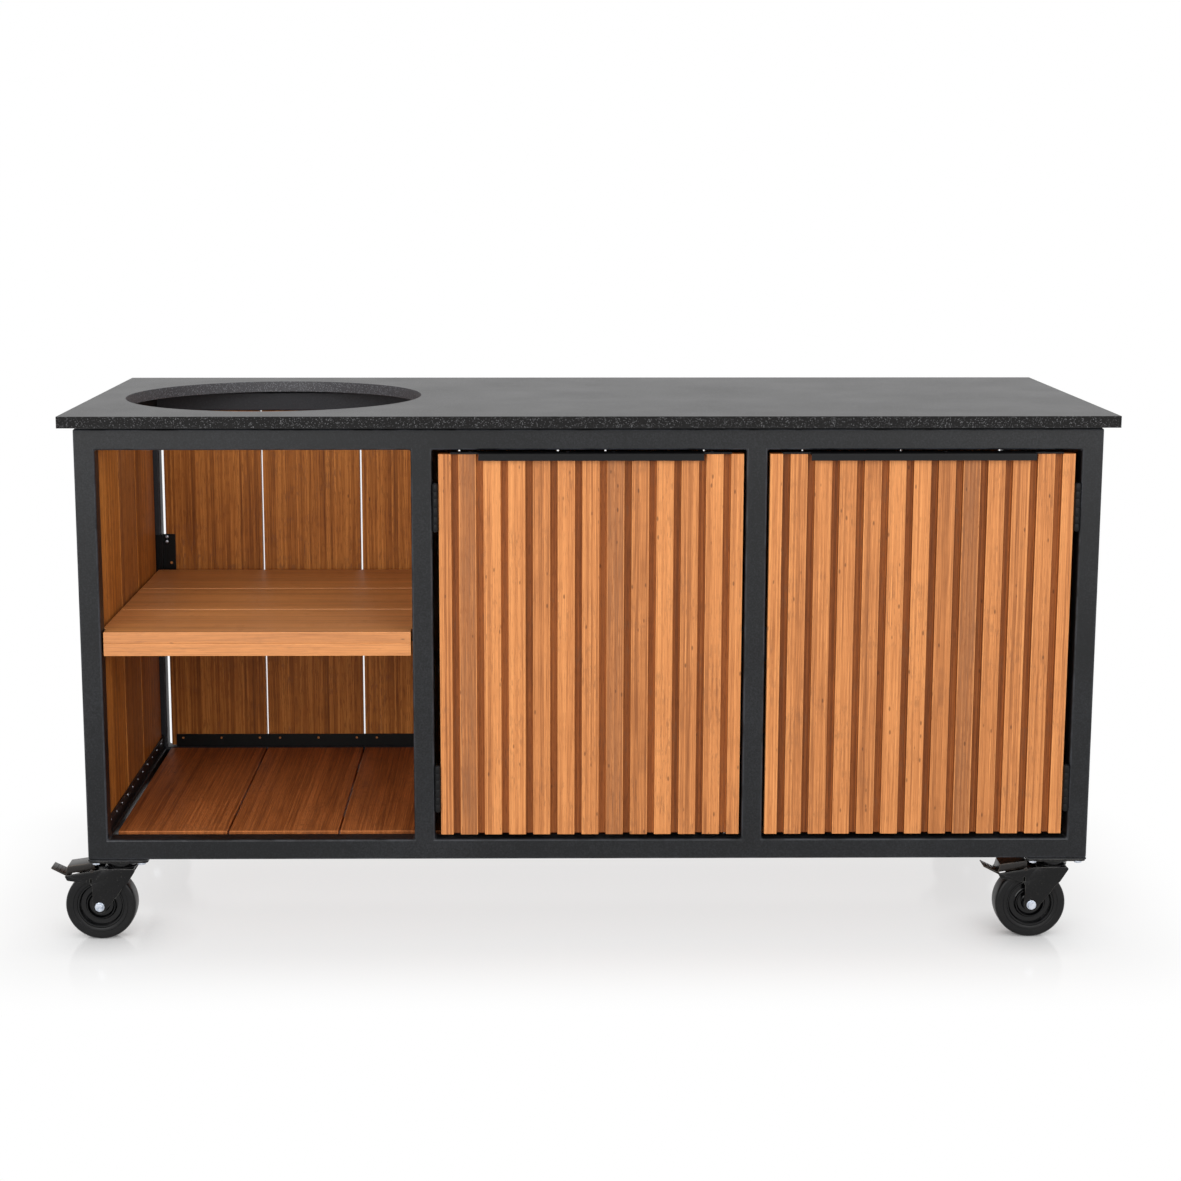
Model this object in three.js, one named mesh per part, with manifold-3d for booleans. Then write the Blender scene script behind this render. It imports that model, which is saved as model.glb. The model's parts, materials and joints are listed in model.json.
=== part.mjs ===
// Kamado grill table: a stone worktop with a round cut-out for the grill, a welded frame of square
// steel tube, vertical bamboo boards, an open bay with a shelf, a cupboard with two ribbed doors,
// and four braked swivel casters.
//
// Millimetres. X runs along the table, Y from the front to the back, Z up from the floor.

import * as THREE from 'three';
import { mergeVertices } from 'three/addons/utils/BufferGeometryUtils.js';
import Module from 'manifold-3d';

const wasm = await Module();
wasm.setup();

// Worktop
const slabLength = 1800;
const slabDepth = 700;
const slabThickness = 20;
const slabChamfer = 1.5;
const slabOverhang = 22.5;
const cutoutDiameter = 540;
const gasketThickness = 4;
const gasketInset = 3;
const gasketWidth = 30;

// Welded frame
const frameHeight = 760;
const tubeSide = 36;
const tubeWall = 2;
const tubeRadius = 3;
const bayCount = 3;
const drainDiameter = 8;
const drainInset = 150;
const mountPlateThickness = 3;
const weldDepth = 0.5;
const plateWeldInset = 9;
const plateWeldWidth = 9;

// Steel angles welded to the frame
const angleThickness = 3;
const wallAngleHeight = 26;
const wallAngleFoot = 25;
const wallAngleEndGap = 18;
const floorLedgeWidth = 25;
const floorLedgeDrop = 14;

// Bamboo boards
const boardWidth = 193;
const boardGap = 4;
const boardThickness = 20;
const boardChamfer = 1.5;
const boardInset = 9;
const boardEndGap = 8;
const sideBoardEndGap = 15;
const boardTopGap = 1;
const smallestFiller = 45;
const spacerHeight = 20;
const spacerKey = 0.5;
const floorFrontGap = 16;
const floorRearGap = 2;
const battenWidth = 40;
const battenThickness = 15;
const battenOffset = 150;
const dividerGap = 1;

// Shelf
const shelfRise = 371;
const shelfRecess = 4.5;
const shelfRearGap = 26;
const shelfSideGap = 5;
const shelfPostGap = 3;
const shelfPlankCount = 3;
const shelfLipHeight = 22;
const shelfLipDepth = 30;
const shelfRailWidth = 30;
const shelfRailHeight = 20;
const clipRise = 68;
const clipPostCover = 16;
const clipBoardCover = 27;

// Doors
const hingeGap = 11;
const latchGap = 4.5;
const doorTopGap = 7;
const doorBottomGap = 9;
const grooveCount = 12;
const grooveWidth = 12.6;
const grooveDepth = 11;
const endRibShare = 0.734;
const doorBarWidth = 30;
const doorBarThickness = 5;
const stopWidth = 12;
const stopThickness = 4;
const stopHeight = 60;
const stopGap = 0.5;
const handleStripLength = 480;
const handleStripDepth = 20;
const handleStripLead = 2;
const handleLipLength = 384;
const handleLipDrop = 13;
const handleReach = 13;
const handleThickness = 3;

// Hinges
const hingeHeight = 81;
const hingeTopInset = 92;
const hingeBottomInset = 83;
const hingeProud = 1;
const leafThickness = 2.2;
const leafClearance = 0.2;
const leafWidth = 25;
const knuckleRadius = 5.1;
const knuckleMiddle = 31;
const knuckleGap = 0.3;
const hingePinRadius = 2.5;
const hingePinClearance = 0.15;
const hingePinProud = 1.5;

// Casters
const wheelDiameter = 125;
const wheelWidth = 38;
const tyreShoulder = 5;
const rimRadius = 41;
const rimWall = 3;
const rimRecess = 4;
const hubRingRadius = 26;
const hubRingWall = 3;
const webRecess = 9;
const hubRadius = 13;
const hubLength = 42;
const axleRadius = 4;
const axleClearance = 0.25;
const axleHeadSize = 13;
const axleHeadHeight = 6;
const trail = 38;
const forkInnerWidth = 46;
const forkSheet = 3.5;
const forkLobeRadius = 12;
const forkLobeTurn = 153;
const crownReach = 26;
const crownRear = 30;
const kneeReach = 12;
const kneeDrop = 28;
const armReach = 98;
const armDrop = 12;
const armTipDepth = 9;
const armRootDepth = 29;
const armRise = 1.5;
const slotLength = 9;
const slotWidth = 3;
const slotDrop = 22;
const slotReach = 52;
const wheelTopClearance = 3.5;
const lowerRaceHeight = 3;
const lowerRaceRadius = 27;
const raceGap = 0.5;
const cupHeight = 12.5;
const cupRadius = 32;
const cupNeck = 28;
const kingpinRadius = 6;
const kingpinClearance = 0.5;
const kingpinHeadRadius = 10;
const kingpinHeadHeight = 4;
const plateThickness = 3.5;
const plateLength = 104;
const plateWidth = 84;
const plateCorner = 8;
const boltSpacingX = 80;
const boltSpacingY = 60;
const nutSize = 13;
const nutHeight = 5;
const pedalReach = 124;
const pedalBodyWidth = 40;
const pedalTipWidth = 38;
const pedalTipEndWidth = 28;
const pedalSheet = 3;
const pedalRoot = 46;
const pedalShoulder = 94;
const pedalTopDrop = 6;
const pedalTopSlope = 6.5;
const pedalToeDrop = 19.5;
const pedalToeRise = 20;
const pedalPivotRadius = 3;
const pedalPivotReach = 50;
const pedalPivotClearance = 0.3;

// Facets
const cutoutFacets = 56;
const wheelFacets = 24;
const roundFacets = 16;
const smallFacets = 10;
const hexSides = 6;
const edgeFacets = 2;
const gridStep = 1 / 16384;

// Levels and faces that follow from the sizes above
const forkSpan = forkInnerWidth + 2 * forkSheet;
const wheelRadius = wheelDiameter / 2;
const crownBottom = wheelDiameter + wheelTopClearance;
const crownTop = crownBottom + forkSheet;
const cupBottom = crownTop + lowerRaceHeight + raceGap;
const plateBottom = cupBottom + cupHeight;
const plateTop = plateBottom + plateThickness;
const frameBottom = plateTop + mountPlateThickness;
const frameTop = frameBottom + frameHeight;
const bayBottom = frameBottom + tubeSide;
const bayTop = frameTop - tubeSide;
const frameLength = slabLength - 2 * slabOverhang;
const frameDepth = slabDepth - 2 * slabOverhang;
const frameHalf = frameLength / 2;
const frameFront = -frameDepth / 2;
const frameBack = frameDepth / 2;
const innerHalf = frameHalf - tubeSide;
const innerFront = frameFront + tubeSide;
const innerBack = frameBack - tubeSide;
const bayWidth = (frameLength - (bayCount + 1) * tubeSide) / bayCount;
const bayPitch = bayWidth + tubeSide;
const firstBayLeft = -innerHalf;
const firstBayRight = firstBayLeft + bayWidth;
const sideFace = innerHalf + boardInset;
const backFace = innerBack + boardInset;
const boardBottom = bayBottom + angleThickness;
const boardLength = bayTop - boardTopGap - boardBottom;
const boardPitch = boardWidth + boardGap;
const casterX = frameHalf - plateLength / 2;
const casterY = frameDepth / 2 - plateWidth / 2;
const dividerX = firstBayRight + tubeSide / 2;
const shelfTop = bayBottom + shelfRise;
const shelfBottom = shelfTop - boardThickness;
const doorBottom = bayBottom + doorBottomGap;
const doorTop = bayTop - doorTopGap;
const doorWidth = bayWidth - hingeGap - latchGap;
const doorThickness = boardThickness + doorBarThickness;
const ribWidth = (doorWidth - grooveCount * grooveWidth) / (grooveCount - 1 + 2 * endRibShare);
const pedalPivotLevel = crownTop - forkSheet;
const quarterTurn = Math.PI / 2;

// The pedals reach further left than the worktop, so the table is moved right by half the
// difference and its origin is the middle of its whole footprint, on the floor.
const footprintLeft = Math.max(casterX + pedalReach, slabLength / 2);
const originShift = (footprintLeft - slabLength / 2) / 2;

// Finishes, one new material for each piece
function finish(color, roughness, metalness) {
  return () => new THREE.MeshStandardMaterial({ color, roughness, metalness });
}
const granite = finish(0x2c2d2f, 0.35, 0);
const powderCoat = finish(0x3b3c40, 0.55, 0.1);
const darkBamboo = finish(0x7c4622, 0.6, 0);
const lightBamboo = finish(0xd9935a, 0.55, 0);
const blackSteel = finish(0x1f2022, 0.4, 0.4);
const zinc = finish(0xc4c9d0, 0.3, 0.9);
const tyreRubber = finish(0x29292b, 0.75, 0);
const pedalSteel = finish(0x3a3029, 0.45, 0.5);
const gasketRubber = finish(0x151515, 0.9, 0);

// A closed geometry as a solid that can be joined and cut. Its corners move to a fine grid, so
// that faces of two solids that lie in one plane do so exactly.
function solid(geometry) {
  const bare = geometry.clone();
  bare.deleteAttribute('normal');
  bare.deleteAttribute('uv');
  const corners = bare.attributes.position.array;
  corners.forEach((value, i) => {
    corners[i] = Math.round(value / gridStep) * gridStep;
  });
  const merged = mergeVertices(bare);
  const vertProperties = new Float32Array(merged.attributes.position.array);
  const triVerts = new Uint32Array(merged.index.array);
  return new wasm.Manifold(new wasm.Mesh({ numProp: 3, vertProperties, triVerts }));
}

function geometryOf(body) {
  const mesh = body.getMesh();
  const geometry = new THREE.BufferGeometry();
  geometry.setAttribute('position', new THREE.BufferAttribute(mesh.vertProperties, 3));
  geometry.setIndex(new THREE.BufferAttribute(mesh.triVerts, 1));
  geometry.computeVertexNormals();
  return geometry;
}

function joined(solids) {
  return solids.reduce((whole, next) => whole.add(next));
}

function piece(parent, name, geometry, material) {
  const mesh = new THREE.Mesh(geometry, material());
  mesh.name = name;
  parent.add(mesh);
  return mesh;
}

function placedGroup(parent, x, y, z) {
  const group = new THREE.Group();
  group.position.set(x, y, z);
  parent.add(group);
  return group;
}

// A box given by its low and high corner
function box([x0, y0, z0], [x1, y1, z1]) {
  const geometry = new THREE.BoxGeometry(x1 - x0, y1 - y0, z1 - z0);
  return geometry.translate((x0 + x1) / 2, (y0 + y1) / 2, (z0 + z1) / 2);
}

function outline(points) {
  return new THREE.Shape(points.map(([a, b]) => new THREE.Vector2(a, b)));
}

function rectangle(a0, b0, a1, b1) {
  return outline([[a0, b0], [a1, b0], [a1, b1], [a0, b1]]);
}

function chamferedRectangle(a0, b0, a1, b1, cut) {
  return outline([
    [a0 + cut, b0], [a1 - cut, b0], [a1, b0 + cut], [a1, b1 - cut],
    [a1 - cut, b1], [a0 + cut, b1], [a0, b1 - cut], [a0, b0 + cut],
  ]);
}

function roundedRectangle(width, height, radius) {
  const shape = new THREE.Shape();
  const x = width / 2 - radius;
  const y = height / 2 - radius;
  const centres = [[x, y], [-x, y], [-x, -y], [x, -y]];
  centres.forEach(([a, b], i) => {
    shape.absarc(a, b, radius, i * quarterTurn, (i + 1) * quarterTurn);
  });
  return shape;
}

// A regular ring of corners whose flats stand at the given radius
function flatCircle(radius, facets) {
  const corner = radius / Math.cos(Math.PI / facets);
  const points = [];
  for (let i = 0; i < facets; i += 1) {
    const angle = ((2 * i + 1) * Math.PI) / facets;
    points.push([corner * Math.cos(angle), corner * Math.sin(angle)]);
  }
  return points;
}

// Extrusions: the outline lies in XY, XZ or YZ and runs from one level to the other
function alongZ(shape, z0, z1, options = {}) {
  const settings = { depth: z1 - z0, bevelEnabled: false, curveSegments: edgeFacets, ...options };
  return new THREE.ExtrudeGeometry(shape, settings).translate(0, 0, z0);
}

function alongY(shape, y0, y1, options = {}) {
  return alongZ(shape, 0, y1 - y0, options).rotateX(quarterTurn).translate(0, y1, 0);
}

function alongX(shape, x0, x1, options = {}) {
  const turn = new THREE.Matrix4().makeBasis(
    new THREE.Vector3(0, 1, 0), new THREE.Vector3(0, 0, 1), new THREE.Vector3(1, 0, 0));
  return alongZ(shape, 0, x1 - x0, options).applyMatrix4(turn).translate(x0, 0, 0);
}

function cylinderZ(radius, z0, z1, facets) {
  return alongZ(outline(flatCircle(radius, facets)), z0, z1);
}

// Worktop, with the cut-out in the middle of the open bay
function worktop() {
  const shape = rectangle(-slabLength / 2, -slabDepth / 2, slabLength / 2, slabDepth / 2);
  const hole = new THREE.Path();
  hole.absarc((firstBayLeft + firstBayRight) / 2, 0, cutoutDiameter / 2, 0, 2 * Math.PI, true);
  shape.holes.push(hole);
  const geometry = alongZ(shape, slabChamfer, slabThickness - slabChamfer, {
    bevelEnabled: true,
    bevelThickness: slabChamfer,
    bevelSize: slabChamfer,
    bevelOffset: -slabChamfer,
    bevelSegments: 1,
    curveSegments: cutoutFacets / 2,
  });
  const mesh = piece(table, 'worktop', geometry, granite);
  mesh.position.z = frameTop + gasketThickness;
}

function gasket() {
  const x = frameHalf - gasketInset;
  const y = frameDepth / 2 - gasketInset;
  const shape = rectangle(-x, -y, x, y);
  shape.holes.push(rectangle(gasketWidth - x, gasketWidth - y, x - gasketWidth, y - gasketWidth));
  const mesh = piece(table, 'worktop_gasket', alongZ(shape, 0, gasketThickness), gasketRubber);
  mesh.position.z = frameTop;
}

// One bay of a welded side: a ring of square tube that shares its posts with the bays beside it.
// grow draws the ring in by that much on every face, for the hollow inside the tube.
function bayRing(bays, index, grow) {
  const pitch = (frameLength - tubeSide) / bays;
  const left = -frameHalf + index * pitch;
  const right = left + pitch + tubeSide;
  const shape = rectangle(left + grow, grow, right - grow, frameHeight - grow);
  shape.holes.push(rectangle(left + tubeSide - grow, tubeSide - grow,
    right - tubeSide + grow, frameHeight - tubeSide + grow));
  return shape;
}

// A welded side of the frame: rings side by side, with one hollow that runs all through the tubes
function ladderSolid(bays) {
  const eased = {
    bevelEnabled: true,
    bevelThickness: tubeRadius,
    bevelSize: tubeRadius,
    bevelOffset: -tubeRadius,
    bevelSegments: edgeFacets,
  };
  const outers = [];
  const hollows = [];
  for (let i = 0; i < bays; i += 1) {
    outers.push(solid(alongY(bayRing(bays, i, 0), tubeRadius, tubeSide - tubeRadius, eased)));
    hollows.push(solid(alongY(bayRing(bays, i, tubeWall), tubeWall, tubeSide - tubeWall)));
  }
  let body = joined(outers).subtract(joined(hollows));
  for (const side of [-1, 1]) {
    const drain = cylinderZ(drainDiameter / 2, -tubeWall, 2 * tubeWall, smallFacets);
    drain.translate(side * (frameHalf - drainInset), tubeSide / 2, 0);
    body = body.subtract(solid(drain));
  }
  return body;
}

// Two plates under the corners of a ladder carry the casters, each with its weld into the rail.
// inward is +1 where the plates run on towards larger Y and -1 where towards smaller Y.
function mountPlates(inward) {
  const edge = inward > 0 ? 0 : tubeSide;
  const y0 = Math.min(edge, edge + inward * plateWidth);
  return [-1, 1].map((side) => {
    const outer = side * frameHalf;
    const inner = side * (frameHalf - plateLength);
    const x0 = Math.min(outer, inner);
    const plate = box([x0, y0, -mountPlateThickness], [x0 + plateLength, y0 + plateWidth, 0]);
    const weld = box([x0 + tubeSide, plateWeldInset, -weldDepth],
      [x0 + plateLength - tubeSide, plateWeldInset + plateWeldWidth, weldDepth]);
    return solid(plate).add(solid(weld));
  });
}

// The ledge that the floor boards lie on, on the inner face of a bottom rail
function floorLedge(face, inward) {
  const level = tubeSide - boardThickness;
  const root = face - inward * weldDepth;
  const reach = face + inward * floorLedgeWidth;
  const lip = face + inward * angleThickness;
  const x = innerHalf - wallAngleEndGap;
  const shelf = box([-x, Math.min(root, reach), level - angleThickness],
    [x, Math.max(root, reach), level]);
  const leg = box([-x, Math.min(root, lip), level - floorLedgeDrop], [x, Math.max(root, lip), level]);
  return joined([solid(shelf), solid(leg)]);
}

function doorStop(postSide, height) {
  const root = bayPitch / 2 + postSide * (tubeSide / 2 - weldDepth);
  const tip = root + postSide * (weldDepth + stopWidth);
  const y0 = doorThickness + stopGap;
  return solid(box([Math.min(root, tip), y0, height],
    [Math.max(root, tip), y0 + stopThickness, height + stopHeight]));
}

function frontFrame() {
  const parts = [ladderSolid(bayCount), ...mountPlates(1), floorLedge(tubeSide, 1)];
  for (const postSide of [-1, 1]) {
    parts.push(doorStop(postSide, (frameHeight - stopHeight) / 2));
  }
  const mesh = piece(table, 'front_frame', geometryOf(joined(parts)), powderCoat);
  mesh.position.set(0, frameFront, frameBottom);
}

// The angle that the wall boards stand in: a foot on the rail and a leg in front of the boards
function wallAngle(face, outward, halfLength, alongAxis) {
  const front = face - outward * angleThickness;
  const rear = front + outward * wallAngleFoot;
  const foot = outline([
    [front, tubeSide - weldDepth], [rear, tubeSide - weldDepth],
    [rear, tubeSide + angleThickness], [face, tubeSide + angleThickness],
    [face, tubeSide + wallAngleHeight], [front, tubeSide + wallAngleHeight],
  ]);
  return solid(alongAxis(foot, -halfLength, halfLength));
}

function rearFrame() {
  const parts = [ladderSolid(1), ...mountPlates(-1), floorLedge(0, -1)];
  parts.push(wallAngle(boardInset, 1, innerHalf - wallAngleEndGap, alongX));
  const mesh = piece(table, 'rear_frame', geometryOf(joined(parts)), powderCoat);
  mesh.position.set(0, innerBack, frameBottom);
}

// An open-ended square tube of the given length along Y, centred on its axis
function tubeAlongY(length) {
  const half = tubeSide / 2 - tubeWall;
  const shape = roundedRectangle(tubeSide, tubeSide, tubeRadius);
  shape.holes.push(rectangle(-half, -half, half, half));
  return alongY(shape, -length / 2, length / 2);
}

function sideRails() {
  const length = innerBack - innerFront;
  for (const [sideName, side] of [['left', -1], ['right', 1]]) {
    const x = side * (frameHalf - tubeSide / 2);
    const lower = solid(tubeAlongY(length));
    const face = side * (boardInset - tubeSide / 2);
    const angle = wallAngle(face, side, length / 2, alongY);
    const lowerShape = lower.add(angle.translate([0, 0, -tubeSide / 2]));
    piece(table, `${sideName}_rail_bottom`, geometryOf(lowerShape), powderCoat)
      .position.set(x, 0, frameBottom + tubeSide / 2);
    piece(table, `${sideName}_rail_top`, tubeAlongY(length), powderCoat)
      .position.set(x, 0, frameTop - tubeSide / 2);
  }
}

function crossRails() {
  for (const [name, side] of [['cross_rail_left', -1], ['cross_rail_right', 1]]) {
    piece(table, name, tubeAlongY(innerBack - innerFront), powderCoat)
      .position.set((side * bayPitch) / 2, 0, frameTop - tubeSide / 2);
  }
}

// Where the boards of a wall or floor lie across its span: full boards from both ends and one
// filler board in the middle
function boardSpans(span) {
  const perSide = Math.floor((span - smallestFiller) / (2 * boardPitch));
  const spans = [];
  for (let i = 0; i < perSide; i += 1) {
    spans.push([-span / 2 + i * boardPitch, -span / 2 + i * boardPitch + boardWidth]);
  }
  const filler = -span / 2 + perSide * boardPitch;
  spans.push([filler, -filler]);
  for (let i = perSide - 1; i >= 0; i -= 1) {
    spans.push([span / 2 - i * boardPitch - boardWidth, span / 2 - i * boardPitch]);
  }
  return spans;
}

// Boards side by side along X, standing along Z, with their inner face at Y = 0
function boards(span, length) {
  return boardSpans(span).map(([x0, x1]) =>
    solid(alongZ(chamferedRectangle(x0, 0, x1, boardThickness, boardChamfer), 0, length)));
}

// Small blocks at both ends of each gap hold the boards apart and tie them into one panel
function spacers(span, length) {
  const blocks = [];
  const spans = boardSpans(span);
  for (let i = 1; i < spans.length; i += 1) {
    const x0 = spans[i - 1][1] - spacerKey;
    const x1 = spans[i][0] + spacerKey;
    for (const z0 of [0, length - spacerHeight]) {
      const high = [x1, boardThickness - boardChamfer, z0 + spacerHeight];
      blocks.push(solid(box([x0, boardChamfer, z0], high)));
    }
  }
  return blocks;
}

function wallPanel(name, span, length) {
  const body = joined([...boards(span, length), ...spacers(span, length)]);
  return piece(table, name, geometryOf(body), darkBamboo);
}

function walls() {
  const back = wallPanel('back_wall', 2 * (innerHalf - boardEndGap), boardLength);
  back.position.set(0, backFace, boardBottom);
  for (const [name, side] of [['left_wall', -1], ['right_wall', 1]]) {
    const panel = wallPanel(name, innerBack - innerFront - 2 * sideBoardEndGap, boardLength);
    panel.rotation.z = -side * quarterTurn;
    panel.position.set(side * sideFace, 0, boardBottom);
  }
  const front = innerFront + dividerGap;
  const rear = backFace - angleThickness - dividerGap;
  const divider = wallPanel('divider_wall', rear - front, bayTop - boardTopGap - bayBottom);
  divider.rotation.z = quarterTurn;
  divider.position.set(dividerX + boardThickness / 2, (front + rear) / 2, bayBottom);
}

// Floor boards run from front to back and are tied by two battens underneath
function floor() {
  const front = innerFront + floorFrontGap;
  const rear = innerBack - floorRearGap;
  const span = 2 * (innerHalf - boardEndGap);
  const parts = boards(span, rear - front);
  const middle = (rear - front) / 2;
  for (const side of [-1, 1]) {
    const z0 = middle + side * battenOffset - battenWidth / 2;
    const depth = boardThickness - spacerKey;
    const low = [-span / 2, depth, z0];
    const high = [span / 2, boardThickness + battenThickness, z0 + battenWidth];
    parts.push(solid(box(low, high)));
  }
  const mesh = piece(table, 'floor_boards', geometryOf(joined(parts)), darkBamboo);
  mesh.rotation.x = -quarterTurn;
  mesh.position.set(0, front, bayBottom);
}

// Shelf: three planks across the open bay on two angles, with a lip under the front edge
function shelf() {
  const left = -sideFace + shelfSideGap;
  const right = dividerX - boardThickness / 2 - shelfSideGap;
  const lipLeft = firstBayLeft + shelfPostGap;
  const lipRight = firstBayRight - shelfPostGap;
  const front = frameFront + shelfRecess;
  const rear = backFace - shelfRearGap;
  const plankDepth = (rear - front - (shelfPlankCount - 1) * boardGap) / shelfPlankCount;
  const names = ['shelf_plank_front', 'shelf_plank_middle', 'shelf_plank_rear'];
  for (let i = 0; i < shelfPlankCount; i += 1) {
    const section = chamferedRectangle(0, 0, plankDepth, boardThickness, boardChamfer);
    let body = solid(alongX(section, left, right));
    if (i === 0) {
      const notchDepth = innerFront + shelfPostGap - front;
      const notches = [[left - shelfSideGap, lipLeft], [lipRight, right + shelfSideGap]];
      for (const [x0, x1] of notches) {
        body = body.subtract(solid(box([x0, -shelfPostGap, -shelfPostGap],
          [x1, notchDepth, boardThickness + shelfPostGap])));
      }
    }
    piece(table, names[i], geometryOf(body), darkBamboo)
      .position.set(0, front + i * (plankDepth + boardGap), shelfBottom);
  }
  const lip = chamferedRectangle(0, -shelfLipHeight, shelfLipDepth, 0, boardChamfer);
  piece(table, 'shelf_front_lip', alongX(lip, lipLeft, lipRight), lightBamboo)
    .position.set(0, front, shelfBottom);
  shelfRail('shelf_rail_left', -sideFace, 1, innerBack);
  shelfRail('shelf_rail_right', dividerX - boardThickness / 2, -1, innerBack);
}

// A steel angle under one end of the shelf, from the front post back along the wall
function shelfRail(name, face, inward, rear) {
  const section = outline([
    [0, -shelfRailHeight], [inward * angleThickness, -shelfRailHeight],
    [inward * angleThickness, -angleThickness], [inward * shelfRailWidth, -angleThickness],
    [inward * shelfRailWidth, 0], [0, 0],
  ]);
  piece(table, name, alongY(section, innerFront, rear), blackSteel)
    .position.set(face, 0, shelfBottom);
}

// A folded clip that hooks round the rear corner post above the shelf and holds the back boards
function cornerClip() {
  const post = -innerHalf;
  const fold = post + angleThickness;
  const front = innerBack - angleThickness;
  const step = backFace - angleThickness;
  const section = outline([
    [post - clipPostCover, front], [fold, front], [fold, step], [post + clipBoardCover, step],
    [post + clipBoardCover, backFace], [post, backFace], [post, innerBack],
    [post - clipPostCover, innerBack],
  ]);
  piece(table, 'corner_clip', alongZ(section, shelfBottom, shelfTop + clipRise), blackSteel);
}

// Doors. side is -1 for the door hinged on its left and +1 for the door hinged on its right.
// Each door group stands on the hinge axis, and its pieces run from the axis towards the latch.
function ribbedCladding(x0, x1, y0) {
  const endRib = endRibShare * ribWidth;
  const points = [[x0, y0 + boardThickness], [x0, y0]];
  for (let i = 0; i < grooveCount; i += 1) {
    const start = x0 + endRib + i * (grooveWidth + ribWidth);
    points.push([start, y0], [start, y0 + grooveDepth]);
    points.push([start + grooveWidth, y0 + grooveDepth], [start + grooveWidth, y0]);
  }
  points.push([x1, y0], [x1, y0 + boardThickness]);
  return alongZ(outline(points), doorBottom, doorTop);
}

function doorBars(x0, x1, y0) {
  const shape = rectangle(x0, doorBottom, x1, doorTop);
  const middle = (doorBottom + doorTop) / 2;
  const left = x0 + doorBarWidth;
  const right = x1 - doorBarWidth;
  shape.holes.push(rectangle(left, doorBottom + doorBarWidth, right, middle - doorBarWidth / 2));
  shape.holes.push(rectangle(left, middle + doorBarWidth / 2, right, doorTop - doorBarWidth));
  return alongY(shape, y0, y0 + doorBarThickness);
}

// A bent strip on the top edge of the door, with a lip that stands in front of the boards
function handle(middle, face) {
  const top = doorTop + handleThickness;
  const strip = box([middle - handleStripLength / 2, face - handleStripLead, doorTop],
    [middle + handleStripLength / 2, face - handleStripLead + handleStripDepth, top]);
  const bridge = box([middle - handleLipLength / 2, face - handleReach, doorTop],
    [middle + handleLipLength / 2, face, top]);
  const lip = box([middle - handleLipLength / 2, face - handleReach, top - handleLipDrop],
    [middle + handleLipLength / 2, face - handleReach + handleThickness, top]);
  return geometryOf(joined([solid(strip), solid(bridge), solid(lip)]));
}

function door(name, side, postFace) {
  const axis = placedGroup(table, postFace - (side * hingeGap) / 2, frameFront - hingeProud, 0);
  const near = (-side * hingeGap) / 2;
  const far = near - side * doorWidth;
  const x0 = Math.min(near, far);
  const x1 = Math.max(near, far);
  piece(axis, `${name}_cladding`, ribbedCladding(x0, x1, hingeProud), lightBamboo);
  piece(axis, `${name}_bars`, doorBars(x0, x1, hingeProud + boardThickness), powderCoat);
  piece(axis, `${name}_handle`, handle((x0 + x1) / 2, hingeProud), powderCoat);
  const upper = doorTop - hingeTopInset - hingeHeight / 2;
  const lower = doorBottom + hingeBottomInset - hingeHeight / 2;
  for (const [place, z] of [['upper', upper], ['lower', lower]]) {
    const hinge = placedGroup(axis, 0, 0, z);
    piece(hinge, `${name}_hinge_${place}_frame_leaf`, frameLeaf(side), blackSteel);
    piece(hinge, `${name}_hinge_${place}_door_leaf`, doorLeaf(side), blackSteel);
  }
}

// The plate of a hinge leaf, whose outer face is at outer, without the knuckles
function leafPlate(outer, inward) {
  const inner = outer + inward * leafThickness;
  return solid(box([Math.min(outer, inner), 0, 0], [Math.max(outer, inner), leafWidth, hingeHeight]));
}

// The room that the other leaf's knuckle needs in a plate
function knuckleRoom(z0, z1) {
  return solid(cylinderZ(knuckleRadius + knuckleGap, z0 - knuckleGap, z1 + knuckleGap, roundFacets));
}

// The frame leaf carries the two outer knuckles and the pin
function frameLeaf(side) {
  const middle0 = (hingeHeight - knuckleMiddle) / 2;
  const middle1 = (hingeHeight + knuckleMiddle) / 2;
  const plate = leafPlate(side * (hingeGap / 2 - leafClearance), -side)
    .subtract(knuckleRoom(middle0, middle1));
  const pin = cylinderZ(hingePinRadius, -hingePinProud, hingeHeight + hingePinProud, smallFacets);
  return geometryOf(joined([
    plate,
    solid(cylinderZ(knuckleRadius, 0, middle0 - knuckleGap, roundFacets)),
    solid(cylinderZ(knuckleRadius, middle1 + knuckleGap, hingeHeight, roundFacets)),
    solid(pin),
  ]));
}

// The door leaf carries the middle knuckle, which turns on the pin
function doorLeaf(side) {
  const middle0 = (hingeHeight - knuckleMiddle) / 2;
  const middle1 = (hingeHeight + knuckleMiddle) / 2;
  const plate = leafPlate(-side * (hingeGap / 2 - leafClearance), side)
    .subtract(knuckleRoom(-hingeHeight, middle0 - knuckleGap))
    .subtract(knuckleRoom(middle1 + knuckleGap, 2 * hingeHeight));
  const knuckle = solid(cylinderZ(knuckleRadius, middle0, middle1, roundFacets));
  const pinCorner = hingePinRadius / Math.cos(Math.PI / smallFacets);
  const bore = cylinderZ(pinCorner + hingePinClearance, -hingeHeight, 2 * hingeHeight, smallFacets);
  return geometryOf(plate.add(knuckle).subtract(solid(bore)));
}

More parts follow.
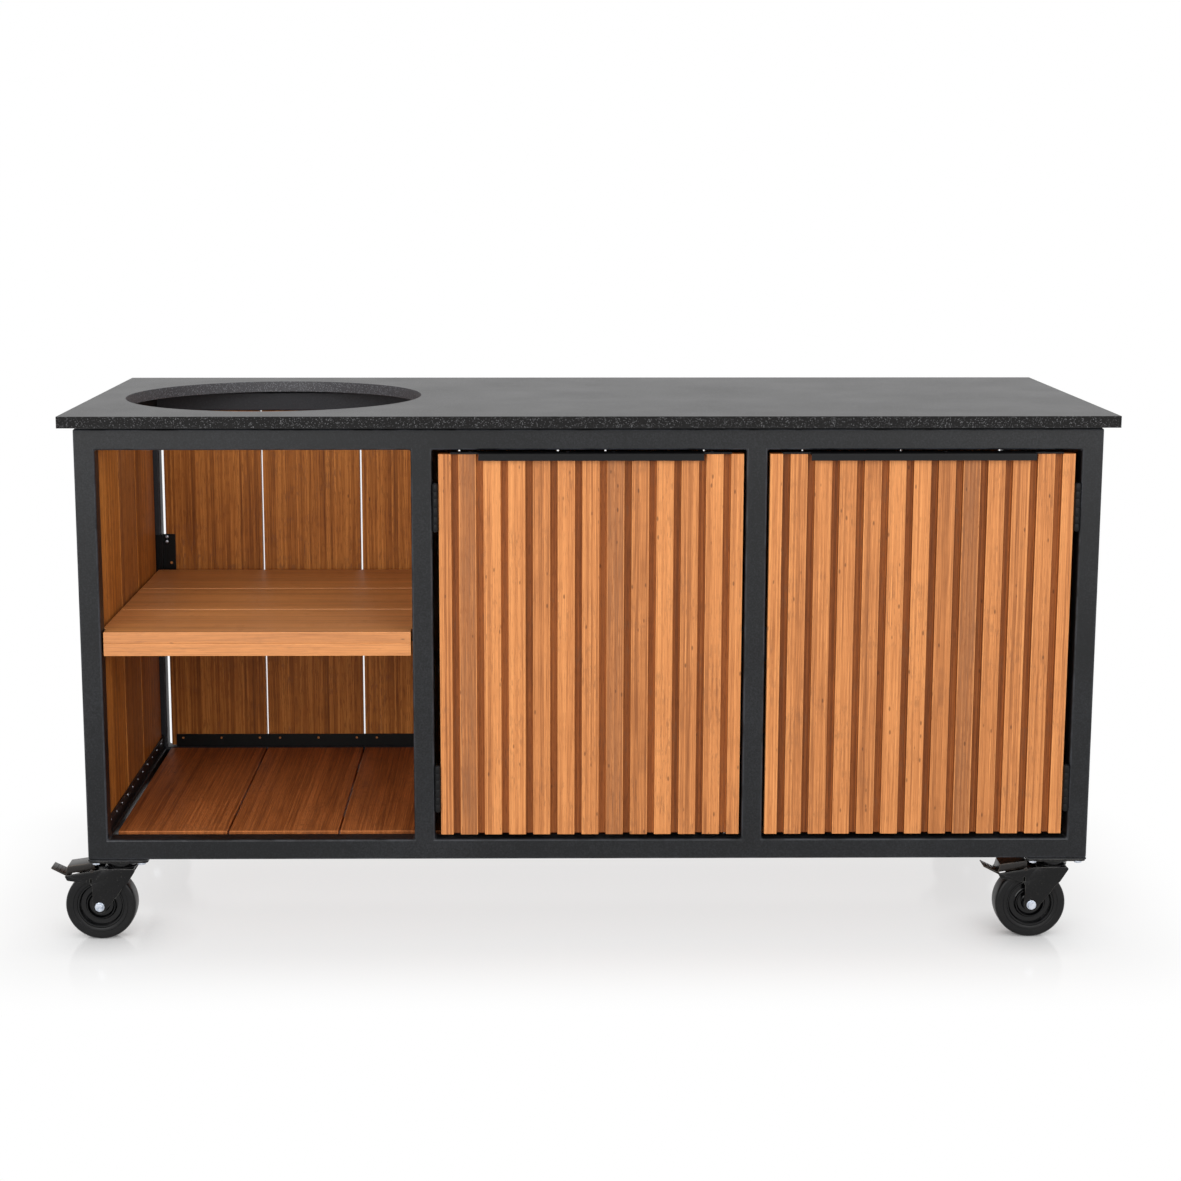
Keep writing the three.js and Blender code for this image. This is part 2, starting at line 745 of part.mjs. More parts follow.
// Casters. Each group stands on the swivel axis at floor level, and its wheel trails towards -X.
// The profile of the wheel in radius and width: out from the bore on the one side, over the tread
// and back on the other side
function wheelProfile() {
  const half = wheelWidth / 2;
  const bore = axleRadius / Math.cos(Math.PI / smallFacets) + axleClearance;
  const tread = wheelRadius / Math.cos(Math.PI / wheelFacets);
  const side = [
    [bore, hubLength / 2], [hubRadius, hubLength / 2],
    [hubRadius, half - webRecess], [hubRingRadius - hubRingWall, half - webRecess],
    [hubRingRadius - hubRingWall, half - rimRecess], [hubRingRadius, half - rimRecess],
    [hubRingRadius, half - webRecess], [rimRadius - rimWall, half - webRecess],
    [rimRadius - rimWall, half - rimWall / 2], [rimRadius, half - rimWall / 2],
    [rimRadius + rimWall, half],
    [tread - tyreShoulder, half], [tread, half - tyreShoulder],
  ];
  const other = side.map(([r, y]) => [r, -y]);
  return [...other, ...side.reverse()];
}

function wheel() {
  const points = wheelProfile().map(([r, y]) => new THREE.Vector2(r, y));
  points.push(points[0].clone());
  return new THREE.LatheGeometry(points, wheelFacets).rotateY(Math.PI / wheelFacets);
}

function axle() {
  const reach = forkSpan / 2;
  const across = axleHeadSize / 2;
  const shank = alongY(outline(flatCircle(axleRadius, smallFacets)), -reach, reach);
  const head = alongY(outline(flatCircle(across, hexSides)), -reach - axleHeadHeight, -reach);
  const nut = alongY(outline(flatCircle(across, hexSides)), reach, reach + axleHeadHeight);
  return geometryOf(joined([solid(shank), solid(head), solid(nut)]));
}

// Side view of the fork: crown on the right, the leg down to the axle and the brake arm on the left
function forkShape() {
  const axleLeft = -trail - forkLobeRadius;
  const shape = new THREE.Shape();
  shape.moveTo(crownReach, crownTop);
  shape.lineTo(-crownRear, crownTop);
  shape.lineTo(-armReach, crownTop - armDrop);
  shape.lineTo(-armReach + armTipDepth / 2, crownTop - armDrop - armTipDepth);
  shape.lineTo(axleLeft, crownTop - armRootDepth);
  shape.lineTo(axleLeft, wheelRadius);
  shape.absarc(-trail, wheelRadius, forkLobeRadius, Math.PI,
    Math.PI + THREE.MathUtils.degToRad(forkLobeTurn));
  shape.lineTo(kneeReach, crownTop - kneeDrop);
  shape.lineTo(crownReach, crownBottom);
  return shape;
}

function fork() {
  const half = forkSpan / 2;
  const gap = forkInnerWidth / 2;
  const legs = alongY(forkShape(), -half, half, { curveSegments: smallFacets });
  const underCrown = box([-armReach - forkSheet, -gap, 0], [crownReach + forkSheet, gap, crownBottom]);
  const behindCrown = box([-armReach - forkSheet, -gap, 0], [-crownRear, gap, crownTop + forkSheet]);
  const slot = box([-slotReach - slotWidth / 2, -forkSpan, crownTop - slotDrop - slotLength / 2],
    [-slotReach + slotWidth / 2, forkSpan, crownTop - slotDrop + slotLength / 2]);
  const axleHole = alongY(outline(flatCircle(axleRadius + axleClearance, smallFacets)),
    -forkSpan, forkSpan).translate(-trail, 0, wheelRadius);
  const pivotHole = alongY(outline(flatCircle(pedalPivotRadius + pedalPivotClearance, smallFacets)),
    -forkSpan, forkSpan).translate(-pedalPivotReach, 0, pedalPivotLevel);
  const race = cylinderZ(lowerRaceRadius, crownBottom, crownTop + lowerRaceHeight, roundFacets);
  const pinHole = cylinderZ(kingpinRadius + kingpinClearance, 0, plateTop, smallFacets);
  const body = solid(legs).subtract(solid(underCrown)).subtract(solid(behindCrown))
    .subtract(solid(slot)).subtract(solid(axleHole)).subtract(solid(pivotHole))
    .add(solid(race)).subtract(solid(pinHole));
  return geometryOf(body);
}

// Top plate with the upper race, the kingpin and the four nuts
function topPlate() {
  const plate = alongZ(roundedRectangle(plateLength, plateWidth, plateCorner), plateBottom, plateTop);
  const headTop = crownBottom - raceGap;
  const cupProfile = [
    [0, headTop - kingpinHeadHeight], [kingpinHeadRadius, headTop - kingpinHeadHeight],
    [kingpinHeadRadius, headTop], [kingpinRadius, headTop], [kingpinRadius, cupBottom],
    [cupNeck, cupBottom], [cupRadius, cupBottom + cupHeight / 2],
    [cupRadius, plateBottom + plateThickness / 2], [0, plateBottom + plateThickness / 2],
  ].map(([r, z]) => new THREE.Vector2(r, z));
  const cup = new THREE.LatheGeometry(cupProfile, roundFacets).rotateX(quarterTurn);
  const parts = [solid(plate), solid(cup)];
  for (const sx of [-1, 1]) {
    for (const sy of [-1, 1]) {
      const nutTop = plateBottom + plateThickness / 2;
      const nut = cylinderZ(nutSize / 2, plateBottom - nutHeight, nutTop, hexSides);
      nut.translate((sx * boltSpacingX) / 2, (sy * boltSpacingY) / 2, 0);
      parts.push(solid(nut));
    }
  }
  return geometryOf(joined(parts));
}

// Brake pedal: a wedge between the fork's arms, a toe plate that slants up and out, and its pivot
function pedal() {
  const top = plateBottom - pedalTopDrop;
  const shoulderTop = top - pedalTopSlope;
  const armSlope = armDrop / (armReach - crownRear);
  const armLevel = (x) => crownTop + armSlope * (x + crownRear) - armRise;
  const wedge = alongY(outline([
    [-pedalRoot, top], [-pedalShoulder, shoulderTop],
    [-pedalShoulder - armTipDepth / 2, armLevel(-pedalShoulder)],
    [-pedalRoot, armLevel(-pedalRoot)],
  ]), -pedalBodyWidth / 2, pedalBodyWidth / 2);
  const toeLow = crownTop - pedalToeDrop;
  const toe = alongY(outline([
    [-pedalShoulder + pedalSheet, toeLow], [-pedalReach, toeLow + pedalToeRise - pedalSheet],
    [-pedalReach, toeLow + pedalToeRise], [-pedalShoulder, toeLow + 2 * pedalSheet],
  ]), -pedalTipWidth / 2, pedalTipWidth / 2);
  const taper = (pedalTipWidth - pedalTipEndWidth) / 2;
  let toeSolid = solid(toe);
  for (const side of [-1, 1]) {
    const cut = outline([
      [-pedalShoulder, (side * pedalTipWidth) / 2],
      [-pedalReach - pedalSheet, side * (pedalTipWidth / 2 - taper)],
      [-pedalReach - pedalSheet, side * pedalTipWidth], [-pedalShoulder, side * pedalTipWidth],
    ]);
    toeSolid = toeSolid.subtract(solid(alongZ(cut, 0, plateTop)));
  }
  const pivot = alongY(outline(flatCircle(pedalPivotRadius, smallFacets)), -forkSpan / 2, forkSpan / 2)
    .translate(-pedalPivotReach, 0, pedalPivotLevel);
  return geometryOf(joined([solid(wedge), toeSolid, solid(pivot)]));
}

function caster(name, x, y) {
  const group = placedGroup(table, x, y, 0);
  piece(group, `${name}_plate`, topPlate(), blackSteel);
  piece(group, `${name}_fork`, fork(), blackSteel);
  piece(group, `${name}_pedal`, pedal(), pedalSteel);
  const wheelCentre = placedGroup(group, -trail, 0, wheelRadius);
  piece(wheelCentre, `${name}_wheel`, wheel(), tyreRubber);
  piece(wheelCentre, `${name}_axle`, axle(), zinc);
}

const table = new THREE.Group();
table.position.x = originShift;
worktop();
gasket();
frontFrame();
rearFrame();
sideRails();
crossRails();
walls();
floor();
shelf();
cornerClip();
door('left_door', -1, -bayPitch / 2 + tubeSide / 2);
door('right_door', 1, innerHalf);
caster('caster_front_left', -casterX, -casterY);
caster('caster_front_right', casterX, -casterY);
caster('caster_rear_left', -casterX, casterY);
caster('caster_rear_right', casterX, casterY);

export default table;
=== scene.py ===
"""Looks of a kamado grill table: stone worktop, steel frame, bamboo boards, ribbed doors, casters."""
import json
import logging
import math
import random
from dataclasses import dataclass, field
from enum import Enum
from functools import lru_cache
from typing import Any, Callable, Iterable, Sequence

import bmesh
import bpy
from mathutils import Matrix, Vector


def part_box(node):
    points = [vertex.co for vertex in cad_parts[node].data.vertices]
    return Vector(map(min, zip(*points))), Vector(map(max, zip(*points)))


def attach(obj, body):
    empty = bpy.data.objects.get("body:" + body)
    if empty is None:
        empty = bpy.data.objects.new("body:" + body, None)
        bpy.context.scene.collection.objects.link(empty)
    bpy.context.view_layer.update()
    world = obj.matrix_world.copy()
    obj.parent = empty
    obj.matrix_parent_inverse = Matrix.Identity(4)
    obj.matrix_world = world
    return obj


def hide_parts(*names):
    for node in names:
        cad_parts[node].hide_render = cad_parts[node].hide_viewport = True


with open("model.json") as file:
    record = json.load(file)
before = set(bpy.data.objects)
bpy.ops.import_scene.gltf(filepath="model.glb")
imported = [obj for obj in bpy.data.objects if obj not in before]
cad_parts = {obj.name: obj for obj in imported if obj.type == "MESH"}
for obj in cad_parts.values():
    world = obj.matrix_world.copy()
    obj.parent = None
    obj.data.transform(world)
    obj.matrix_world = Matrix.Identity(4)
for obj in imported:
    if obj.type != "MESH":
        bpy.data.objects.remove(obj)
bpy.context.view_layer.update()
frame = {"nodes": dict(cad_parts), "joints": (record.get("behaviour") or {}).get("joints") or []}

TONE = "board_tone"
# Face layer of the eased edges; the finishes paint these edges lighter, partly as wear and partly as a
# painted highlight.
SHEEN_AND_WEAR = "edge_wear"
TABLE_BODY = "table"
SMOOTH_ANGLE = math.radians(35)
SHARP_ANGLE = math.radians(25)
ROD_RIM_ANGLE = math.radians(40)
PARALLEL = 0.99
MERGE_DISTANCE = 1e-6
RANK = Vector((1.0, 7.13, 53.7))

log = logging.getLogger("kamado_table")

Colour = tuple[float, ...]
Flat = tuple[float, float]
Point = Sequence[float]
Loop = Sequence[Point]


def srgb(red: int, green: int, blue: int) -> Colour:
    """Turns a colour of 0 to 255 steps into the linear colour that shaders take."""
    def channel(step: int) -> float:
        """One channel of it."""
        share = step / 255
        return share / 12.92 if share <= 0.04045 else ((share + 0.055) / 1.055) ** 2.4
    return (channel(red), channel(green), channel(blue), 1.0)


# Shader maths


class Number:
    """A number socket of a shader. Arithmetic on it adds Math nodes."""

    def __init__(self, shader: "Shader", socket: bpy.types.NodeSocket) -> None:
        """Wraps one output socket of that shader."""
        self.shader = shader
        self.socket = socket

    def math(self, operation: str, *others: Any) -> "Number":
        """Adds one Math node.

        Args:
            operation: The Math node's operation.
            others: Its other inputs, as numbers or wrapped sockets.

        Returns:
            The node's result.
        """
        return self.shader.math(operation, self, *others)

    def __add__(self, other: Any) -> "Number":
        """Sum."""
        return self.math("ADD", other)

    __radd__ = __add__

    def __sub__(self, other: Any) -> "Number":
        """Difference."""
        return self.math("SUBTRACT", other)

    def __rsub__(self, other: Any) -> "Number":
        """Difference with the number on the left."""
        return self.shader.math("SUBTRACT", other, self)

    def __mul__(self, other: Any) -> "Number":
        """Product."""
        return self.math("MULTIPLY", other)

    __rmul__ = __mul__

    def __truediv__(self, other: Any) -> "Number":
        """Quotient."""
        return self.math("DIVIDE", other)

    def __rtruediv__(self, other: Any) -> "Number":
        """Quotient with the number on top."""
        return self.shader.math("DIVIDE", other, self)

    def __abs__(self) -> "Number":
        """Distance from zero."""
        return self.math("ABSOLUTE")

    def __pow__(self, other: Any) -> "Number":
        """Power."""
        return self.math("POWER", other)

    def floor(self) -> "Number":
        """Whole part."""
        return self.math("FLOOR")

    def fraction(self) -> "Number":
        """What is over the whole part."""
        return self.math("FRACT")

    def above(self, limit: float) -> "Number":
        """One where the number is over the limit, else zero."""
        return self.math("GREATER_THAN", limit)

    def fade(self, start: float, end: float) -> "Number":
        """Rises smoothly from 0 at start to 1 at end, or falls where end is the smaller."""
        low, high, first, last = (start, end, 0.0, 1.0) if start < end else (end, start, 1.0, 0.0)
        node = self.shader.node("ShaderNodeMapRange", {"interpolation_type": "SMOOTHSTEP"}, {
            "Value": self, "From Min": low, "From Max": high, "To Min": first, "To Max": last})
        return Number(self.shader, node.outputs["Result"])


class Grain(Enum):
    """Which way a board's fibres run: the axes across its face, into its depth and along them."""

    STANDING_ACROSS_X = ("X", "Y", "Z")
    STANDING_ACROSS_Y = ("Y", "X", "Z")
    LYING_ALONG_Y = ("X", "Z", "Y")
    LYING_ALONG_X = ("Y", "Z", "X")


class Shader:
    """One material's node tree, with a Principled surface."""

    def __init__(self, name: str) -> None:
        """Makes the material with its surface and output."""
        self.material = bpy.data.materials.new(name)
        self.material.use_nodes = True
        self.tree = self.material.node_tree
        self.tree.nodes.clear()
        self.surface = self.node("ShaderNodeBsdfPrincipled")
        self.output = self.node("ShaderNodeOutputMaterial", {}, {
            "Surface": self.surface.outputs["BSDF"]})
        self.place = self.node("ShaderNodeTexCoord").outputs["Object"]

    @classmethod
    def around(cls, world: bpy.types.World) -> "Shader":
        """Wraps a world's emptied node tree instead of a material's."""
        made = cls.__new__(cls)
        made.tree = world.node_tree
        made.tree.nodes.clear()
        return made

    def node(self, kind: str, settings: dict[str, Any] | None = None,
             inputs: dict[Any, Any] | None = None) -> bpy.types.Node:
        """Adds a node.

        Args:
            kind: The node's type.
            settings: Its properties, set before its sockets. "stops" fills a colour ramp.
            inputs: Values or links for its input sockets, by name or index.

        Returns:
            The new node.
        """
        made = self.tree.nodes.new(kind)
        for key, value in (settings or {}).items():
            if key == "stops":
                self._fill_ramp(made.color_ramp, value)
            else:
                setattr(made, key, value)
        for key, value in (inputs or {}).items():
            self.feed(made.inputs[key], value)
        return made

    @staticmethod
    def _fill_ramp(ramp: bpy.types.ColorRamp, stops: Sequence[tuple[float, Any]]) -> None:
        """Sets a colour ramp's stops, given as place and colour."""
        while len(ramp.elements) < len(stops):
            ramp.elements.new(1.0)
        for element, (place, colour) in zip(ramp.elements, stops):
            element.position = place
            element.color = colour

    def feed(self, socket: bpy.types.NodeSocket, value: Any) -> None:
        """Links a socket to another one, or sets its value."""
        if isinstance(value, Number):
            value = value.socket
        if isinstance(value, bpy.types.NodeSocket):
            self.tree.links.new(value, socket)
        else:
            socket.default_value = value

    def math(self, operation: str, *values: Any) -> Number:
        """Adds a Math node on these values and returns its result."""
        made = self.node("ShaderNodeMath", {"operation": operation}, dict(enumerate(values)))
        return Number(self, made.outputs[0])

    def split(self, vector: Any) -> dict[str, Number]:
        """The three numbers of a vector, by axis."""
        parts = self.node("ShaderNodeSeparateXYZ", {}, {"Vector": vector}).outputs
        return {axis: Number(self, parts[axis]) for axis in "XYZ"}

    def vector(self, x: Any, y: Any, z: Any) -> bpy.types.NodeSocket:
        """Puts three numbers together as a vector."""
        made = self.node("ShaderNodeCombineXYZ", {}, {"X": x, "Y": y, "Z": z})
        return made.outputs["Vector"]

    def attribute(self, name: str) -> Number:
        """A number that the mesh holds for each face."""
        made = self.node("ShaderNodeAttribute", {"attribute_name": name})
        return Number(self, made.outputs["Fac"])

    def noise(self, vector: Any, scale: float, detail: float = 2.0,
              roughness: float = 0.5) -> Number:
        """Soft noise from 0 to 1 with its middle near one half."""
        made = self.node("ShaderNodeTexNoise", {}, {
            "Vector": vector, "Scale": scale, "Detail": detail, "Roughness": roughness})
        return Number(self, made.outputs["Fac"])

    def random(self, vector: Any) -> Number:
        """An even random number for each different vector."""
        made = self.node("ShaderNodeTexWhiteNoise", {"noise_dimensions": "3D"}, {
            "Vector": vector})
        return Number(self, made.outputs["Value"])

    def cells(self, vector: Any, scale: float) -> tuple[Number, Number]:
        """Grains of a crystal pattern: the distance to a grain's middle, and its random tone."""
        made = self.node("ShaderNodeTexVoronoi", {}, {"Vector": vector, "Scale": scale})
        split = self.node("ShaderNodeSeparateColor", {}, {"Color": made.outputs["Color"]})
        return Number(self, made.outputs["Distance"]), Number(self, split.outputs["Red"])

    def blend(self, first: Any, second: Any, share: Any) -> bpy.types.NodeSocket:
        """Mixes two colours; share is how much of the second one there is."""
        colour_a, colour_b, result = 6, 7, 2
        made = self.node("ShaderNodeMix", {"data_type": "RGBA"}, {
            "Factor": share, colour_a: first, colour_b: second})
        return made.outputs[result]

    def bump(self, height: Any, distance: float, strength: float = 1.0) -> bpy.types.NodeSocket:
        """A normal that follows a height of 0 to 1, scaled by a distance in metres."""
        made = self.node("ShaderNodeBump", {}, {
            "Strength": strength, "Distance": distance, "Height": height})
        return made.outputs["Normal"]

    def dress(self, **inputs: Any) -> bpy.types.Material:
        """Feeds the Principled surface; a socket's spaces are underscores here."""
        for key, value in inputs.items():
            self.feed(self.surface.inputs[key.replace("_", " ")], value)
        return self.material


# Finishes. The scales of their patterns are waves per metre.


@dataclass(frozen=True)
class Bamboo:
    """Oiled bamboo board, glued from narrow strips that each have their own tone."""

    name: str
    grain: Grain
    light: Colour = srgb(224, 152, 88)
    middle: Colour = srgb(194, 126, 68)
    dark: Colour = srgb(144, 87, 43)
    speck: Colour = srgb(66, 38, 24)
    weathered: Colour = srgb(130, 84, 54)
    strip_width: float = 0.0036
    strip_contrast: float = 0.34
    fibre_contrast: float = 1.0
    tone_contrast: float = 0.4
    speck_share: float = 0.045
    dash_share: float = 0.4
    mottle_share: float = 0.6
    roughness: float = 0.5
    gloss: float = 0.3
    sway: float = 0.0014
    relief: float = 0.00022

    def material(self) -> bpy.types.Material:
        """Builds the shader."""
        shader = Shader(self.name)
        place = shader.split(shader.place)
        across, depth, along = (place[axis] for axis in self.grain.value)
        tone = shader.attribute(TONE)
        sheen_and_wear = shader.attribute(SHEEN_AND_WEAR)

        def streaks(fine: float, long: float, shift: Any, detail: float = 2.0) -> Number:
            """Noise drawn out along the grain.

            Args:
                fine: Its scale across the grain.
                long: Its scale along the grain.
                shift: What moves it, so that boards or strips differ.
                detail: How many finer layers it has.

            Returns:
                The noise.
            """
            stretched = shader.vector(across * fine + shift, depth * fine, along * long + tone * 19)
            return shader.noise(stretched, 1.0, detail, 0.6)

        swayed = across + (streaks(8, 1.5, 0.0) - 0.5) * self.sway
        strip = swayed / self.strip_width + tone * 57
        own = shader.random(shader.vector(strip.floor(), tone * 91, 0.0))
        band = shader.random(shader.vector((strip * 0.19).floor(), tone * 37, 4.0))
        seam = abs(strip.fraction() - 0.5).fade(0.4, 0.5)
        fibre = streaks(1300, 9, own * 31, 3.0)
        vein = streaks(420, 13, own * 17)
        dash = streaks(520, 46, own * 13).fade(0.53, 0.66)
        broad = streaks(13, 1.7, tone * 23)
        mottle = streaks(210, 48, own * 7, 4.0).fade(0.5, 0.66) * streaks(16, 7, 3.0).fade(0.46, 0.6)
        distance, chance = shader.cells(
            shader.vector(across * 92 + tone * 3, depth * 92, along * 36 + tone * 5), 1.0)
        speck = chance.above(1 - self.speck_share) * distance.fade(0.2, 0.08)
        shade = (own - 0.5) * self.strip_contrast + (tone - 0.5) * self.tone_contrast
        shade = shade + (fibre - 0.5) * self.fibre_contrast + (vein - 0.5) * 0.5 + (broad - 0.5) * 0.6
        # The edge layer lightens eased edges: partly wear, partly a painted highlight.
        shade = shade + (band - 0.5) * 0.16 + sheen_and_wear * 0.26 + 0.5
        ramp = shader.node("ShaderNodeValToRGB", {"stops": [
            (0.08, self.dark), (0.5, self.middle), (0.92, self.light)]}, {"Fac": shade})
        aged = tone.fade(0.14, 0.08) * (1 - sheen_and_wear)
        colour = shader.blend(ramp.outputs["Color"], self.weathered, aged * (vein - 0.3) * 2.2)
        colour = shader.blend(colour, self.dark, seam * 0.22)
        colour = shader.blend(colour, self.dark, dash * (aged * 0.4 + self.dash_share))
        colour = shader.blend(colour, self.weathered, mottle * self.mottle_share)
        colour = shader.blend(colour, self.speck, speck * 0.6)
        height = fibre * 0.5 + (1 - seam) * 0.35 - speck * 0.4
        return shader.dress(
            Base_Color=colour, Specular_IOR_Level=self.gloss,
            Roughness=self.roughness + (fibre - 0.5) * 0.3 + mottle * 0.1,
            Normal=shader.bump(height, self.relief, 0.6))


@dataclass(frozen=True)
class Granite:
    """Dark fine-grained stone, honed on the faces or sawn on the cut edges."""

    name: str
    base: Colour
    speck: Colour = srgb(84, 85, 88)
    deep: Colour = srgb(24, 24, 25)
    speck_share: float = 0.16
    roughness: float = 0.33
    relief: float = 0.00002
    gloss: float = 0.5

    def material(self) -> bpy.types.Material:
        """Builds the shader."""
        shader = Shader(self.name)
        sheen_and_wear = shader.attribute(SHEEN_AND_WEAR)
        distance, grain = shader.cells(shader.place, 520.0)
        _, crystal = shader.cells(shader.place, 1150.0)
        _, flake = shader.cells(shader.place, 260.0)
        cloud = shader.noise(shader.place, 9.0, 3.0)
        speck = grain.above(1 - self.speck_share) * distance.fade(0.55, 0.2)
        spark = crystal.above(0.955) * 0.5 + flake.above(0.985) * distance.fade(0.5, 0.3) * 0.5
        colour = shader.blend(self.base, self.deep, (cloud - 0.35) * 0.9 + (crystal - 0.5) * 0.5)
        # The edge layer pulls eased edges towards the speck colour: a painted highlight along the edges,
        # partly wear.
        colour = shader.blend(colour, self.speck, speck * 0.8 + spark + sheen_and_wear * 0.25)
        return shader.dress(
            Base_Color=colour, Specular_IOR_Level=self.gloss,
            Roughness=self.roughness + (cloud - 0.5) * 0.08 - speck * 0.06,
            Normal=shader.bump(grain * 0.6 + crystal * 0.4, self.relief, 0.6))


@dataclass(frozen=True)
class PowderCoat:
    """Anthracite coating with the fine orange-peel grit of a textured powder; its eased edges are painted
    lighter, partly as wear and partly as a painted highlight.
    """

    name: str
    base: Colour = srgb(13, 14, 16)
    worn_and_sheen: Colour = srgb(62, 64, 69)
    roughness: float = 0.4
    relief: float = 0.00005
    gloss: float = 0.24

    def material(self) -> bpy.types.Material:
        """Builds the shader."""
        shader = Shader(self.name)
        grit = shader.noise(shader.place, 1500.0, 2.0, 0.6)
        peel = shader.noise(shader.place, 420.0, 2.0)
        cloud = shader.noise(shader.place, 5.0, 3.0)
        patch = shader.noise(shader.place, 26.0, 3.0)
        # The edge layer, in patches, lightens the edges: partly wear, partly painted highlight.
        sheen_and_wear = shader.attribute(SHEEN_AND_WEAR) * patch.fade(0.3, 0.62)
        share = sheen_and_wear * 0.45 + (grit - 0.45) * 0.5 + (peel - 0.45) * 0.6 + (cloud - 0.5) * 0.35
        return shader.dress(
            Base_Color=shader.blend(self.base, self.worn_and_sheen, share), Specular_IOR_Level=self.gloss,
            Roughness=self.roughness + (grit - 0.5) * 0.3 + (cloud - 0.5) * 0.1 - sheen_and_wear * 0.08,
            Normal=shader.bump(grit * 0.7 + peel * 0.3, self.relief, 0.8))


@dataclass(frozen=True)
class CoatedSteel:
    """Smooth coated steel of fittings, with faint brushing and handling marks; its eased edges are
    painted lighter, partly as rubbed wear and partly as a painted highlight.
    """

    name: str
    base: Colour = srgb(11, 11, 12)
    rubbed_and_sheen: Colour = srgb(40, 40, 43)
    roughness: float = 0.42
    metallic: float = 0.0
    gloss: float = 0.15
    relief: float = 0.00006

    def material(self) -> bpy.types.Material:
        """Builds the shader."""
        shader = Shader(self.name)
        cloud = shader.noise(shader.place, 60.0, 4.0, 0.6)
        fine = shader.noise(shader.place, 900.0, 2.0)
        marks = shader.noise(shader.place, 240.0, 3.0, 0.7).fade(0.6, 0.75)
        # The edge layer, in clouds, lightens the edges: partly rubbed wear, partly painted highlight.
        sheen_and_wear = shader.attribute(SHEEN_AND_WEAR) * cloud.fade(0.35, 0.6)
        colour = shader.blend(self.base, self.rubbed_and_sheen, marks * 0.3 + sheen_and_wear * 0.6 + (fine - 0.5) * 0.2)
        return shader.dress(
            Base_Color=colour, Metallic=self.metallic, Specular_IOR_Level=self.gloss,
            Roughness=self.roughness + (cloud - 0.5) * 0.2 + marks * 0.08,
            Normal=shader.bump(cloud * 0.6 + fine * 0.4, self.relief, 0.5))


@dataclass(frozen=True)
class Zinc:
    """Bright zinc plating with a faint bluish bloom."""

    name: str
    base: Colour = srgb(206, 211, 219)
    bloom: Colour = srgb(150, 160, 178)
    metallic: float = 0.95
    relief: float = 0.00004

    def material(self) -> bpy.types.Material:
        """Builds the shader."""
        shader = Shader(self.name)
        cloud = shader.noise(shader.place, 210.0, 3.0, 0.6)
        return shader.dress(
            Base_Color=shader.blend(self.base, self.bloom, cloud.fade(0.4, 0.75)),
            Metallic=self.metallic, Roughness=0.24 + cloud * 0.2,
            Normal=shader.bump(cloud, self.relief, 0.5))


@dataclass(frozen=True)
class Rubber:
    """Dull black rubber or moulded plastic with a fine skin."""

    name: str
    base: Colour
    dusty: Colour
    roughness: float
    gloss: float
    relief: float = 0.00005

    def material(self) -> bpy.types.Material:
        """Builds the shader."""
        shader = Shader(self.name)
        cloud = shader.noise(shader.place, 45.0, 4.0, 0.6)
        skin = shader.noise(shader.place, 1300.0, 2.0)
        return shader.dress(
            Base_Color=shader.blend(self.base, self.dusty, (cloud - 0.45) * 0.8),
            Specular_IOR_Level=self.gloss,
            Roughness=self.roughness + (skin - 0.5) * 0.2 + (cloud - 0.5) * 0.15,
            Normal=shader.bump(skin, self.relief, 0.6))


@lru_cache(maxsize=None)
def material_of(finish: Any) -> bpy.types.Material:
    """Builds a finish's material once."""
    return finish.material()


HONED_STONE = Granite("stone_honed", srgb(35, 35, 36), gloss=0.08)
SAWN_STONE = Granite("stone_sawn", srgb(15, 14, 14), srgb(112, 112, 114), srgb(7, 7, 7), 0.1, 0.55,
                     0.00008, 0.14)
CUTOUT_STONE = Granite("stone_cutout", srgb(64, 65, 69), srgb(130, 132, 138), srgb(40, 41, 44), 0.3,
                       0.55, 0.00012)
FRAME_COAT = PowderCoat("anthracite_powder_coat")
# The rear side's coat is the front's anthracite painted much lighter: painted light on the rear rail,
# where light falls through the worktop's hole.
REAR_COAT_PAINTED_LIGHT = PowderCoat("shaded_powder_coat", srgb(40, 41, 45), srgb(70, 71, 75), 0.5, gloss=0.2)
FITTING_BLACK = CoatedSteel("black_fitting_steel")
# Black steel darkened for the corner clip and the rear frame's angle deep in the bays: painted shade. On
# the angle it also stands in for the frame's coat.
BLACK_STEEL_PAINTED_SHADE = CoatedSteel("black_clip_steel", srgb(10, 10, 10), srgb(34, 33, 32))
# The caster's and pedal's rubbed colours are light, so their eased edges carry a clear painted highlight
# as well as wear.
CASTER_BLACK = CoatedSteel("caster_black_steel", srgb(9, 9, 10), srgb(96, 94, 90), 0.2, gloss=0.2)
PEDAL_STEEL = CoatedSteel("brake_pedal_steel", srgb(24, 20, 18), srgb(96, 84, 74), 0.3, 0.2, 0.4)
BOLT_ZINC = Zinc("bolt_zinc")
TYRE_RUBBER = Rubber("tyre_rubber", srgb(14, 14, 15), srgb(34, 33, 32), 0.36, 0.2)
HUB_PLASTIC = Rubber("hub_plastic", srgb(6, 6, 7), srgb(18, 18, 20), 0.14, 0.26)
SEAL_RUBBER = Rubber("seal_rubber", srgb(16, 16, 16), srgb(26, 26, 26), 0.8, 0.2)

OILED = {"strip_width": 0.0042, "speck_share": 0.012, "gloss": 0.16}
